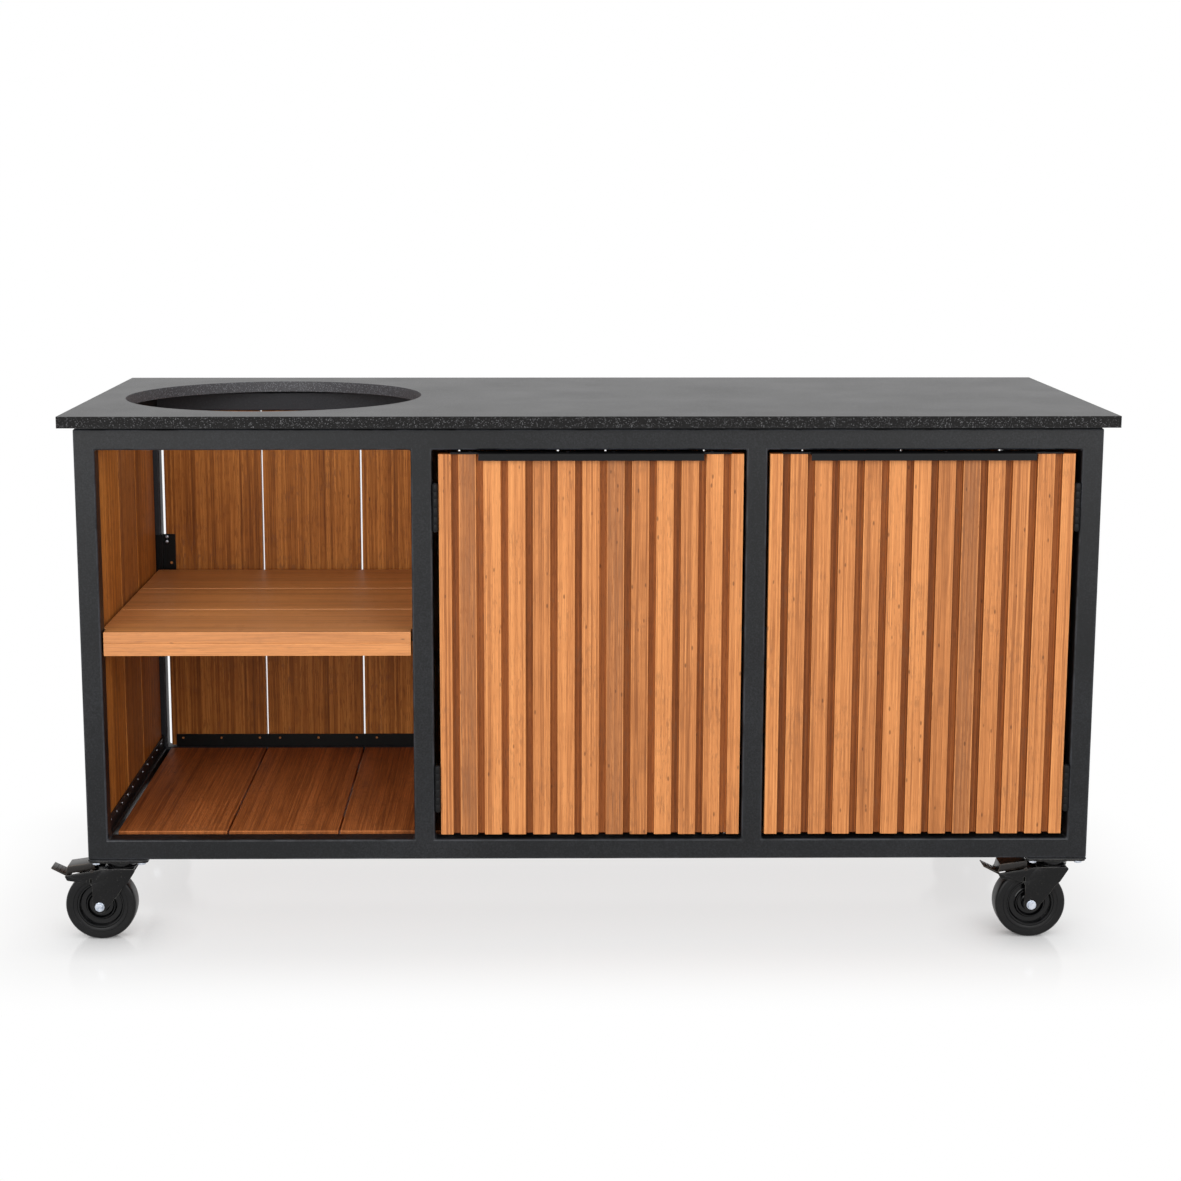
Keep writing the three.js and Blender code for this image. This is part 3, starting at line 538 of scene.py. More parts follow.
# The back, end and divider walls and the bay floor use darker bamboo than the doors: painted shade for
# the inside of the bays.
WALL_PAINTED_SHADE = {"light": srgb(208, 136, 66), "middle": srgb(170, 102, 42), "dark": srgb(112, 62, 23),
        "strip_contrast": 0.46, "fibre_contrast": 1.5, **OILED}
BACK_BAMBOO_PAINTED_SHADE = Bamboo("bamboo_back_boards", Grain.STANDING_ACROSS_X, dash_share=0.5, **WALL_PAINTED_SHADE)
SIDE_BAMBOO_PAINTED_SHADE = Bamboo("bamboo_side_boards", Grain.STANDING_ACROSS_Y, tone_contrast=0.1, dash_share=0.6,
                     **WALL_PAINTED_SHADE)
FLOOR_BAMBOO_PAINTED_SHADE = Bamboo("bamboo_floor_boards", Grain.LYING_ALONG_Y, srgb(200, 121, 66), srgb(163, 94, 48),
                      srgb(106, 57, 28), strip_contrast=0.3, fibre_contrast=1.9, tone_contrast=0.15,
                      **OILED)
SHELF_BAMBOO = Bamboo("bamboo_shelf_planks", Grain.LYING_ALONG_X, speck_share=0.006,
                      fibre_contrast=0.9, strip_contrast=0.2, dash_share=0.2, mottle_share=0.2,
                      roughness=0.42, gloss=0.5)
RIB_BAMBOO = Bamboo("bamboo_door_ribs", Grain.STANDING_ACROSS_X, srgb(218, 147, 88),
                    srgb(192, 123, 70), srgb(138, 82, 43), tone_contrast=0.3, strip_contrast=0.36,
                    strip_width=0.003, fibre_contrast=1.4, dash_share=0.26, mottle_share=0.45,
                    speck_share=0.3, gloss=0.2)
# Darker bamboo for the groove floors and walls: painted shade in the recesses.
GROOVE_BAMBOO_PAINTED_SHADE = Bamboo("bamboo_door_grooves", Grain.STANDING_ACROSS_X, srgb(176, 104, 53),
                       srgb(144, 81, 40), srgb(98, 53, 26), tone_contrast=0.2, gloss=0.12)
HOLE_WOOD = Bamboo("bamboo_in_holes", Grain.STANDING_ACROSS_X)


# Mesh work


class Workpiece:
    """A mesh put together from shaped blanks. Each blank can have its own tone and finish."""

    def __init__(self) -> None:
        """Starts with an empty mesh."""
        self.mesh = bmesh.new()
        self.mesh.faces.layers.int.new("settled")
        self.mesh.faces.layers.float.new(TONE)
        self.mesh.faces.layers.float.new(SHEEN_AND_WEAR)
        self._find_layers()

    def _find_layers(self) -> None:
        """Finds the mesh's own numbers for each face."""
        layers = self.mesh.faces.layers
        self.settled, self.tone, self.sheen_and_wear = layers.int["settled"], layers.float[TONE], layers.float[SHEEN_AND_WEAR]

    def _put_in_order(self) -> None:
        """Rebuilds the mesh in the order of its parts' places, which is the same in every run."""
        self.mesh.verts.sort(key=lambda vert: vert.co.dot(RANK))
        self.mesh.edges.sort(key=lambda edge: (edge.verts[0].co + edge.verts[1].co).dot(RANK))
        self.mesh.faces.sort(key=lambda face: face.calc_center_median().dot(RANK))
        data = bpy.data.meshes.new("ordered")
        self.mesh.to_mesh(data)
        self.mesh.clear()
        self.mesh.from_mesh(data)
        bpy.data.meshes.remove(data)
        self._find_layers()

    def _fresh(self) -> list[bmesh.types.BMFace]:
        """The faces of the blank that is being made."""
        return [face for face in self.mesh.faces if not face[self.settled]]

    def _end(self, tone: float, skin: int) -> list[bmesh.types.BMFace]:
        """Turns the new faces outwards and gives them their tone and finish.

        Args:
            tone: The blank's tone, 0 to 1.
            skin: The place of its finish in the piece's list.

        Returns:
            The new faces.
        """
        made = self._fresh()
        bmesh.ops.recalc_face_normals(self.mesh, faces=made)
        for face in made:
            face[self.settled] = 1
            face[self.tone] = tone
            face.material_index = skin
        return made

    @staticmethod
    def _edges_at(parts: Iterable[Any]) -> list[bmesh.types.BMEdge]:
        """The edges at some corners or of some faces, each once and in the same order in every run."""
        return list(dict.fromkeys(
            edge for part in parts
            for edge in (part.edges if isinstance(part, bmesh.types.BMFace) else part.link_edges)))

    def _ease(self, edges: list[bmesh.types.BMEdge], width: float, steps: int) -> None:
        """Rounds edges over and marks what they become in the edge layer, which the finishes paint
        lighter: partly wear, partly painted highlight.
        """
        if width > 0:
            eased = bmesh.ops.bevel(self.mesh, geom=edges, offset=width, offset_type="OFFSET",
                                    segments=steps, profile=0.5, affect="EDGES", material=-1,
                                    clamp_overlap=True)
            for face in eased["faces"]:
                face[self.sheen_and_wear] = 1.0

    def block(self, low: Point, high: Point, ease: float = 0.0, steps: int = 2,
              tone: float = 0.5, skin: int = 0) -> list[bmesh.types.BMFace]:
        """Adds a block with eased edges.

        Args:
            low: Its lowest corner.
            high: Its highest corner.
            ease: The radius on its edges.
            steps: How many facets round an edge.
            tone: Its tone, 0 to 1.
            skin: The place of its finish in the piece's list.

        Returns:
            Its faces.
        """
        low, high = Vector(low), Vector(high)
        place = Matrix.Translation((low + high) / 2) @ Matrix.Diagonal((*(high - low), 1))
        made = bmesh.ops.create_cube(self.mesh, size=1.0, matrix=place)
        self._ease(self._edges_at(made["verts"]), ease, steps)
        return self._end(tone, skin)

    def plate(self, loops: Sequence[Loop], depth: Point, ease: float = 0.0, steps: int = 2,
              tone: float = 0.5, skin: int = 0, along_only: bool = False, ordered: bool = False,
              sharpest: float = SHARP_ANGLE) -> list[bmesh.types.BMFace]:
        """Adds a flat outline with holes, drawn out into a solid.

        Args:
            loops: The outline, then its holes, as points in one plane.
            depth: How far and which way it is drawn out.
            ease: The radius on its edges.
            steps: How many facets round an edge.
            tone: Its tone, 0 to 1.
            skin: The place of its finish in the piece's list.
            along_only: Rounds only the edges that run along the depth.
            ordered: Puts the mesh in order first, where the rounding would vary with extrude's.
            sharpest: Corners with less of a turn than this keep their edge as it is.

        Returns:
            Its faces.
        """
        rims = []
        for loop in loops:
            verts = [self.mesh.verts.new(point) for point in loop]
            rims += [self.mesh.edges.new(pair) for pair in zip(verts, verts[1:] + verts[:1])]
        filled = bmesh.ops.triangle_fill(
            self.mesh, use_beauty=True, use_dissolve=True, edges=rims, normal=Vector(depth))
        base = [part for part in filled["geom"] if isinstance(part, bmesh.types.BMFace)]
        drawn = bmesh.ops.extrude_face_region(self.mesh, geom=base)
        moved = [part for part in drawn["geom"] if isinstance(part, bmesh.types.BMVert)]
        bmesh.ops.translate(self.mesh, verts=moved, vec=Vector(depth))
        if ordered:
            self._put_in_order()
        new_faces = self._fresh()
        bmesh.ops.recalc_face_normals(self.mesh, faces=new_faces)
        way = Vector(depth).normalized()
        chosen = []
        for edge in self._edges_at(new_faces):
            turn = edge.calc_face_angle(0.0)
            line = (edge.verts[1].co - edge.verts[0].co).normalized()
            if turn > sharpest and (not along_only or abs(line.dot(way)) > PARALLEL):
                chosen.append(edge)
        self._ease(chosen, ease, steps)
        return self._end(tone, skin)

    def turned(self, profile: Loop, centre: Point, axis: Point, steps: int = 48,
               skin: int = 0) -> list[bmesh.types.BMFace]:
        """Turns a profile round an axis.

        Args:
            profile: Points as radius and distance along the axis, closed into a loop if it
                doesn't start and end on the axis.
            centre: The point that the distances count from.
            axis: The axis.
            steps: How many facets round the axis.
            skin: The place of its finish in the piece's list.

        Returns:
            Its faces.
        """
        centre, axis = Vector(centre), Vector(axis).normalized()
        out = axis.orthogonal().normalized()
        verts = [self.mesh.verts.new(centre + out * r + axis * d) for r, d in profile]
        pairs = list(zip(verts, verts[1:]))
        if profile[0][0] > 0 and profile[-1][0] > 0:
            pairs.append((verts[-1], verts[0]))
        edges = [self.mesh.edges.new(pair) for pair in pairs]
        bmesh.ops.spin(self.mesh, geom=verts + edges, cent=centre, axis=axis, dvec=(0, 0, 0),
                       angle=math.tau, steps=steps, use_merge=True, use_duplicate=False)
        corners = dict.fromkeys(vert for face in self._fresh() for vert in face.verts)
        bmesh.ops.remove_doubles(self.mesh, verts=list(corners), dist=MERGE_DISTANCE)
        return self._end(0.5, skin)

    def rod(self, start: Point, end: Point, radius: float, sides: int = 24, ease: float = 0.0,
            steps: int = 2, skin: int = 0) -> list[bmesh.types.BMFace]:
        """Adds a round or many-sided bar between two points, with eased rims.

        Args:
            start: The middle of one end.
            end: The middle of the other.
            radius: Its radius to the corners.
            sides: How many sides it has.
            ease: The radius on its edges.
            steps: How many facets round an edge.
            skin: The place of its finish in the piece's list.

        Returns:
            Its faces.
        """
        start, end = Vector(start), Vector(end)
        line = end - start
        turn = line.to_track_quat("Z", "Y").to_matrix().to_4x4()
        place = Matrix.Translation((start + end) / 2) @ turn
        made = bmesh.ops.create_cone(self.mesh, cap_ends=True, segments=sides, radius1=radius,
                                     radius2=radius, depth=line.length, matrix=place)
        rims = [edge for edge in self._edges_at(made["verts"])
                if edge.calc_face_angle(0.0) > ROD_RIM_ANGLE]
        self._ease(rims, ease, steps)
        return self._end(0.5, skin)

    def piece(self, name: str, finishes: Sequence[Any], body: str, node: str, slot: str,
              smooth: bool = False) -> None:
        """Makes the mesh an object that rides on a body and takes a CAD node's place.

        Args:
            name: The piece's name.
            finishes: Its finishes, in the order that the blanks number them.
            body: The CAD body that it moves with.
            node: The CAD node that it stands for.
            slot: Not used; meant as the record's material slot of its main finish.
            smooth: Shades its gentle corners as round.
        """
        data = bpy.data.meshes.new(name)
        self.mesh.faces.layers.int.remove(self.settled)
        self.mesh.to_mesh(data)
        self.mesh.free()
        data.polygons.foreach_set("use_smooth", [smooth] * len(data.polygons))
        if smooth:
            data.set_sharp_from_angle(angle=SMOOTH_ANGLE)
        made = bpy.data.objects.new(name, data)
        bpy.context.scene.collection.objects.link(made)
        for finish in finishes:
            data.materials.append(material_of(finish))
        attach(made, body)
        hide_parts(node)
        log.info("%s: %d faces", name, len(data.polygons))


def dress_node(node: str, finish: Any) -> None:
    """Gives a CAD node that is kept as it is its finish."""
    data = frame["nodes"][node].data
    data.materials.clear()
    data.materials.append(material_of(finish))
    log.info("%s: finish %s", node, finish.name)


@dataclass(frozen=True)
class Bar:
    """Sizes of a screw, pin or nut, which starts and ends at these distances along its line."""

    start: float
    end: float
    radius: float
    sides: int = 24
    ease: float = 0.0
    steps: int = 2

    def put(self, work: Workpiece, foot: Point, way: Point, skin: int = 0) -> None:
        """Adds the bar to a mesh.

        Args:
            work: The mesh.
            foot: The point that the distances count from.
            way: Which way its line runs, as a vector of length one.
            skin: The place of its finish in the piece's list.
        """
        ends = [[a + b * distance for a, b in zip(foot, way)] for distance in (self.start, self.end)]
        work.rod(*ends, self.radius, self.sides, self.ease, self.steps, skin)


# Flat outlines


def rectangle(low: Flat, high: Flat) -> list[Flat]:
    """The corners of a rectangle."""
    return [(low[0], low[1]), (high[0], low[1]), (high[0], high[1]), (low[0], high[1])]


def arc(centre: Flat, radius: float, start: float, end: float, steps: int) -> list[Flat]:
    """Points on an arc, with its angles in degrees."""
    angles = [math.radians(start + (end - start) * i / steps) for i in range(steps + 1)]
    return [(centre[0] + radius * math.cos(a), centre[1] + radius * math.sin(a)) for a in angles]


def rounded_rectangle(low: Flat, high: Flat, radius: float) -> list[Flat]:
    """The outline of a rectangle with round corners."""
    (x0, y0), (x1, y1) = low, high
    corners = [(x1 - radius, y1 - radius, 0), (x0 + radius, y1 - radius, 90),
               (x0 + radius, y0 + radius, 180), (x1 - radius, y0 + radius, 270)]
    return [point for x, y, a in corners for point in arc((x, y), radius, a, a + 90, 5)]


def angle_section(corner: Flat, first: float, second: float, sheet: float) -> list[Flat]:
    """The section of an angle bar.

    Args:
        corner: Its outer corner.
        first: How far one leg reaches along the first axis, with its sign.
        second: How far the other leg reaches along the second axis, with its sign.
        sheet: The thickness of its legs.

    Returns:
        Its outline.
    """
    a, b = corner
    inner_a, inner_b = a + math.copysign(sheet, first), b + math.copysign(sheet, second)
    return [(a, b), (a + first, b), (a + first, inner_b), (inner_a, inner_b),
            (inner_a, b + second), (a, b + second)]


def shifted(outline: Loop, first: float, second: float) -> list[Flat]:
    """Moves a flat outline."""
    return [(first + a, second + b) for a, b in outline]


def both_halves(half: Sequence[Flat]) -> list[Flat]:
    """Adds the mirrored half to the half profile of a wheel."""
    return [*half, *((radius, -distance) for radius, distance in reversed(half))]


def in_xz(loop: Loop, y: float) -> list[tuple[float, float, float]]:
    """Puts a flat outline into the plane at one Y."""
    return [(a, y, b) for a, b in loop]


def in_xy(loop: Loop, z: float) -> list[tuple[float, float, float]]:
    """Puts a flat outline into the plane at one Z."""
    return [(a, b, z) for a, b in loop]


def in_yz(loop: Loop, x: float) -> list[tuple[float, float, float]]:
    """Puts a flat outline into the plane at one X."""
    return [(x, a, b) for a, b in loop]


# Worktop


@dataclass
class Worktop:
    """Stone slab with the round cut-out, on its seal."""

    cutout_centre_x: float
    cutout_radius: float = 0.27
    cutout_steps: int = 144
    cutout_margin: float = 0.005
    edge_ease: float = 0.0013
    joint_angle: float = 79.0
    joint_width: float = 0.001
    joint_depth: float = 0.0008

    def build(self) -> None:
        """Makes the slab and dresses the seal."""
        low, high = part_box("worktop")
        work = Workpiece()
        faces = work.plate([in_xy(rectangle(low.xy, high.xy), low.z), in_xy(self._cutout(), low.z)],
                           (0, 0, high.z - low.z), self.edge_ease)
        middle = Vector((self.cutout_centre_x, 0.0))
        inner = self.cutout_radius + self.cutout_margin
        for face in faces:
            if abs(face.normal.z) < 0.5:
                inside = (face.calc_center_median().xy - middle).length < inner
                face.material_index = 2 if inside else 1
        work.piece("worktop_slab", [HONED_STONE, SAWN_STONE, CUTOUT_STONE], TABLE_BODY, "worktop",
                   "granite")
        dress_node("worktop_gasket", SEAL_RUBBER)

    def _cutout(self) -> list[Flat]:
        """The round hole, with the fine upright joint in its rear side."""
        centre = (self.cutout_centre_x, 0.0)
        half = math.degrees(self.joint_width / self.cutout_radius / 2)
        start, end = self.joint_angle + half, self.joint_angle + 360 - half
        joint = arc(centre, self.cutout_radius + self.joint_depth, end, start + 360, 1)
        return arc(centre, self.cutout_radius, start, end, self.cutout_steps) + joint


# Frame


@dataclass
class SteelFrame:
    """Welded frame of square tube with its angles, ledges, stops and caster plates."""

    back_boards: Sequence[Flat]
    tube: float = 0.036
    tube_wall: float = 0.002
    corner: float = 0.003
    corner_steps: int = 3
    sheet: float = 0.003
    sheet_ease: float = 0.0005
    angle_leg: float = 0.023
    angle_foot: float = 0.025
    angle_end_gap: float = 0.018
    board_face: float = 0.009
    ledge_width: float = 0.025
    ledge_drop: float = 0.014
    board_thickness: float = 0.02
    plate_length: float = 0.104
    plate_ease: float = 0.0006
    screw: Bar = Bar(-0.0012, 0.001, 0.0019, 12, 0.0005)
    screw_spacing: float = 0.052
    screw_level: float = 0.0185
    hole: Bar = Bar(-0.0003, 0.001, 0.0022, 16)
    hole_spacing: float = 0.078
    hole_shift: float = 0.005
    stop_size: tuple[float, float, float] = (0.012, 0.004, 0.06)
    stop_set_back: float = 0.0255
    stop_ease: float = 0.0008

    def build(self) -> None:
        """Makes both welded sides and the rails between them."""
        self._front()
        self._rear()
        for side in ("left", "right"):
            self._end_rails(side)
        for side in ("left", "right"):
            self._plain_rail(f"front_to_back_rail_{side}", f"cross_rail_{side}")

    def _welded_side(self, node: str, bays: int, front: float, inner: float,
                     way: float) -> tuple[Workpiece, float, float]:
        """Starts one side: its posts and rails, its two caster plates and its ledge.

        Args:
            node: The CAD node that it follows.
            bays: How many openings lie side by side.
            front: The plane of the tubes' front faces.
            inner: The plane of their faces inside the table.
            way: +1 where the ledge reaches towards larger Y, else -1.

        Returns:
            The mesh, and where an angle inside the side starts and ends.
        """
        low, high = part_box(node)
        bottom = low.z + self.sheet
        pitch = (high.x - low.x - self.tube) / bays
        loops = [in_xz(rectangle((low.x, bottom), (high.x, high.z)), front)]
        for i in range(bays):
            left = low.x + self.tube + i * pitch
            loops.append(in_xz(rectangle(
                (left, bottom + self.tube), (left + pitch - self.tube, high.z - self.tube)), front))
        work = Workpiece()
        work.plate(loops, (0, self.tube, 0), self.corner, self.corner_steps)
        for x0, x1 in ((low.x, low.x + self.plate_length), (high.x - self.plate_length, high.x)):
            work.block((x0, low.y, low.z), (x1, high.y, bottom), self.plate_ease)
        start = low.x + self.tube + self.angle_end_gap
        end = high.x - self.tube - self.angle_end_gap
        level = bottom + self.tube - self.board_thickness
        ledge = angle_section((inner, level), way * self.ledge_width, -self.ledge_drop, self.sheet)
        work.plate([in_yz(ledge, start)], (end - start, 0, 0), self.sheet_ease)
        return work, start, end

    def _front(self) -> None:
        """Makes the front side with its door stops."""
        low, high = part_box("front_frame")
        work, _, _ = self._welded_side("front_frame", 3, low.y, low.y + self.tube, 1)
        post = low.x + 2 * (high.x - low.x - self.tube) / 3
        width, thickness, height = self.stop_size
        middle = (low.z + self.sheet + high.z) / 2
        y0 = low.y + self.stop_set_back
        for x0 in (post - width, post + self.tube):
            work.block((x0, y0, middle - height / 2), (x0 + width, y0 + thickness, middle + height / 2),
                       self.stop_ease)
        work.piece("front_welded_side", [FRAME_COAT], TABLE_BODY, "front_frame", "frame")

    def _rear(self) -> None:
        """Makes the rear side with the angle that the back boards stand in, and its holes."""
        low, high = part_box("rear_frame")
        inner = high.y - self.tube
        work, start, end = self._welded_side("rear_frame", 1, inner, inner, -1)
        rail = low.z + self.sheet + self.tube
        front = inner + self.board_face - self.sheet
        # The angle takes the darkened black steel instead of the coat: painted shade inside the bay.
        self._wall_angle(work, front, 1, rail, lambda loop: in_yz(loop, start), (end - start, 0, 0), 2)
        level = rail + self.screw_level
        for left, right in self.back_boards:
            for step in (-1, 0, 1):
                x = (left + right) / 2 + self.hole_shift + step * self.hole_spacing
                if left + self.hole_shift < x < right - self.hole_shift:
                    self.hole.put(work, (x, front, level), (0, 1, 0), skin=1)
        # Its coat is painted lighter as painted light.
        work.piece("rear_welded_side", [REAR_COAT_PAINTED_LIGHT, HOLE_WOOD, BLACK_STEEL_PAINTED_SHADE], TABLE_BODY, "rear_frame",
                   "frame")

    def _wall_angle(self, work: Workpiece, front: float, way: float, rail: float,
                    put: Callable[[Loop], Loop], depth: Point, skin: int = 0) -> None:
        """Adds the angle in front of a wall's boards, with its foot on the rail.

        Args:
            work: The mesh that it goes into.
            front: Where the angle's inner face is.
            way: +1 where the boards lie towards larger values of that axis, else -1.
            rail: The rail's top.
            put: Puts the flat section into space.
            depth: How far and which way the angle runs.
            skin: The place of its finish in the piece's list.
        """
        section = angle_section((front, rail), way * self.angle_foot, self.sheet + self.angle_leg,
                                self.sheet)
        work.plate([put(section)], depth, self.sheet_ease, skin=skin)

    def _rail(self, work: Workpiece, node: str, level: float) -> None:
        """Adds an open-ended tube from front to back, as long as a node and with its top at a level."""
        low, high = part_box(node)
        wall, bottom, right = self.tube_wall, level - self.tube, low.x + self.tube
        outline = rounded_rectangle((low.x, bottom), (right, level), self.corner)
        hollow = rectangle((low.x + wall, bottom + wall), (right - wall, level - wall))
        work.plate([in_xz(outline, low.y), in_xz(hollow, low.y)], (0, high.y - low.y, 0))

    def _plain_rail(self, name: str, node: str) -> None:
        """Makes a rail that carries nothing."""
        work = Workpiece()
        self._rail(work, node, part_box(node)[1].z)
        work.piece(name, [FRAME_COAT], TABLE_BODY, node, "frame")

    def _end_rails(self, side: str) -> None:
        """Makes the two rails at one end of the table, the lower one with its wall angle."""
        low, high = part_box(f"{side}_rail_bottom")
        rail = low.z + self.tube
        work = Workpiece()
        self._rail(work, f"{side}_rail_bottom", rail)
        way, inner = (-1, high.x) if side == "left" else (1, low.x)
        front = inner + way * (self.board_face - self.sheet)
        self._wall_angle(work, front, way, rail, lambda loop: in_xz(loop, low.y),
                         (0, high.y - low.y, 0))
        z = rail + self.screw_level
        for i in range(int((high.y - low.y) / self.screw_spacing)):
            y = low.y + self.screw_spacing / 2 + i * self.screw_spacing
            self.screw.put(work, (front, y, z), (way, 0, 0), skin=1)
        work.piece(f"{side}_lower_rail", [FRAME_COAT, BOLT_ZINC], TABLE_BODY, f"{side}_rail_bottom",
                   "frame")
        self._plain_rail(f"{side}_upper_rail", f"{side}_rail_top")


# Boards


@dataclass
class BoardWork:
    """Walls and floor of bamboo boards with an open gap between neighbours."""

    seed: int = 11
    width: float = 0.193
    thickness: float = 0.02
    gap: float = 0.004
    smallest_filler: float = 0.045
    ease: float = 0.0012
    batten_place: float = 0.15
    batten_half: float = 0.02
    batten_ease: float = 0.001
    batten_tone: float = 0.4

    def __post_init__(self) -> None:
        """Starts the random tones."""
        self.tones = random.Random(self.seed)

    def spans(self, low: float, high: float) -> list[Flat]:
        """Where boards lie: full ones from both ends and one filler in the middle."""
        pitch = self.width + self.gap
        each = int((high - low - self.smallest_filler) / (2 * pitch))
        left = [(low + i * pitch, low + i * pitch + self.width) for i in range(each)]
        right = [(high - i * pitch - self.width, high - i * pitch) for i in range(each)]
        return [*left, (low + each * pitch, high - each * pitch), *reversed(right)]

    def build(self) -> None:
        """Makes the four walls and the floor."""
        self._boards("back_wall", "back_boards", BACK_BAMBOO_PAINTED_SHADE, 0)
        for node, name in (("left_wall", "left_end_boards"), ("right_wall", "right_end_boards"),
                           ("divider_wall", "divider_boards")):
            self._boards(node, name, SIDE_BAMBOO_PAINTED_SHADE, 1)
        self._boards("floor_boards", "floor_planks", FLOOR_BAMBOO_PAINTED_SHADE, 0, battens=True)

    def _boards(self, node: str, name: str, finish: Bamboo, axis: int, battens: bool = False) -> None:
        """Makes one wall or floor.

        Args:
            node: The CAD node that it follows.
            name: The piece's name.
            finish: Its bamboo.
            axis: The axis that the boards lie side by side along, 0 for X and 1 for Y.
            battens: Puts the boards on two battens, as the floor is.
        """
        low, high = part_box(node)
        bottom = high.z - self.thickness if battens else low.z
        work = Workpiece()
        for start, end in self.spans(low[axis], high[axis]):
            near, far = Vector((low.x, low.y, bottom)), high.copy()
            near[axis], far[axis] = start, end
            work.block(near, far, self.ease, tone=self.tones.random())
        if battens:
            middle = (low.y + high.y) / 2
            for y in (middle - self.batten_place, middle + self.batten_place):
                work.block((low.x, y - self.batten_half, low.z), (high.x, y + self.batten_half, bottom),
                           self.batten_ease, tone=self.batten_tone)
        work.piece(name, [finish], TABLE_BODY, node, "boards")


# Shelf


@dataclass
class ShelfUnit:
    """Shelf of three planks in the open bay, with its lip, angles and corner clip."""

    ease: float = 0.0012
    ease_steps: int = 3
    lip_ease: float = 0.00084
    lip_drop: float = 0.0002
    notch_clearance: float = 0.003
    front_tone: float = 0.6
    lip_tone: float = 0.58
    tone_range: Flat = (0.35, 0.6)
    seed: int = 4
    sheet: float = 0.003
    sheet_ease: float = 0.0005
    clip_ease: float = 0.0007
    clip_screw: Bar = Bar(-0.0022, 0.001, 0.0032, 20, 0.0012, 3)
    clip_screw_drops: Flat = (0.005, 0.015)
    clip_screw_inset: float = 0.0165
    clip_hole: Bar = Bar(-0.0002, 0.001, 0.0026, 16)
    clip_hole_drop: float = 0.058
    clip_hole_inset: float = 0.0085

    def build(self) -> None:
        """Makes the planks, the lip, the angles and the clip."""
        self._planks()
        self._lip()
        self._rails()
        self._clip()

    def _planks(self) -> None:
        """Makes the three planks; the front one is notched round the posts."""
        tones = random.Random(self.seed)
        left, right = (corner.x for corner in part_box("shelf_front_lip"))
        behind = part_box("left_rail_top")[0].y + self.notch_clearance
        for place in ("front", "middle", "rear"):
            low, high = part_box(f"shelf_plank_{place}")
            if place == "front":
                tone = self.front_tone
                outline = [(left, low.y), (right, low.y), (right, behind), (high.x, behind),
                           (high.x, high.y), (low.x, high.y), (low.x, behind), (left, behind)]
            else:
                tone = tones.uniform(*self.tone_range)
                outline = rectangle(low.xy, high.xy)
            work = Workpiece()
            work.plate([in_xy(outline, low.z)], (0, 0, high.z - low.z), self.ease, self.ease_steps,
                       tone=tone)
            work.piece(f"shelf_board_{place}", [SHELF_BAMBOO], TABLE_BODY, f"shelf_plank_{place}",
                       "boards")

    def _lip(self) -> None:
        """Makes the strip glued under the front edge."""
        low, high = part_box("shelf_front_lip")
        work = Workpiece()
        work.block(low, (high.x, high.y, high.z - self.lip_drop), self.lip_ease, self.ease_steps,
                   tone=self.lip_tone)
        work.piece("shelf_front_strip", [SHELF_BAMBOO], TABLE_BODY, "shelf_front_lip", "ribs")

    def _rails(self) -> None:
        """Makes the two angles that carry the planks' ends."""
        for side in ("left", "right"):
            low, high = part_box(f"shelf_rail_{side}")
            wall, tip = (low.x, high.x) if side == "left" else (high.x, low.x)
            section = angle_section((wall, high.z), tip - wall, low.z - high.z, self.sheet)
            work = Workpiece()
            work.plate([in_xz(section, low.y)], (0, high.y - low.y, 0), self.sheet_ease)
            work.piece(f"shelf_angle_{side}", [FITTING_BLACK], TABLE_BODY, f"shelf_rail_{side}",
                       "black_steel")

    def _clip(self) -> None:
        """Makes the folded clip with its two screws and its spare hole."""
        low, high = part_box("corner_clip")
        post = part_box("left_rail_top")[1].x
        face, inner = high.y - self.sheet, post + self.sheet
        outline = [(low.x, low.y), (inner, low.y), (inner, face), (high.x, face), (high.x, high.y),
                   (post, high.y), (post, low.y + self.sheet), (low.x, low.y + self.sheet)]
        work = Workpiece()
        work.plate([in_xy(outline, low.z)], (0, 0, high.z - low.z), self.clip_ease)
        x = high.x - self.clip_screw_inset
        for drop in self.clip_screw_drops:
            self.clip_screw.put(work, (x, face, high.z - drop), (0, 1, 0), skin=1)
        x, z = high.x - self.clip_hole_inset, high.z - self.clip_hole_drop
        self.clip_hole.put(work, (x, face, z), (0, 1, 0), skin=2)
        # The clip's darkened black is painted shade.
        work.piece("rear_corner_clip", [BLACK_STEEL_PAINTED_SHADE, BOLT_ZINC, HOLE_WOOD], TABLE_BODY, "corner_clip",
                   "black_steel")


# Doors


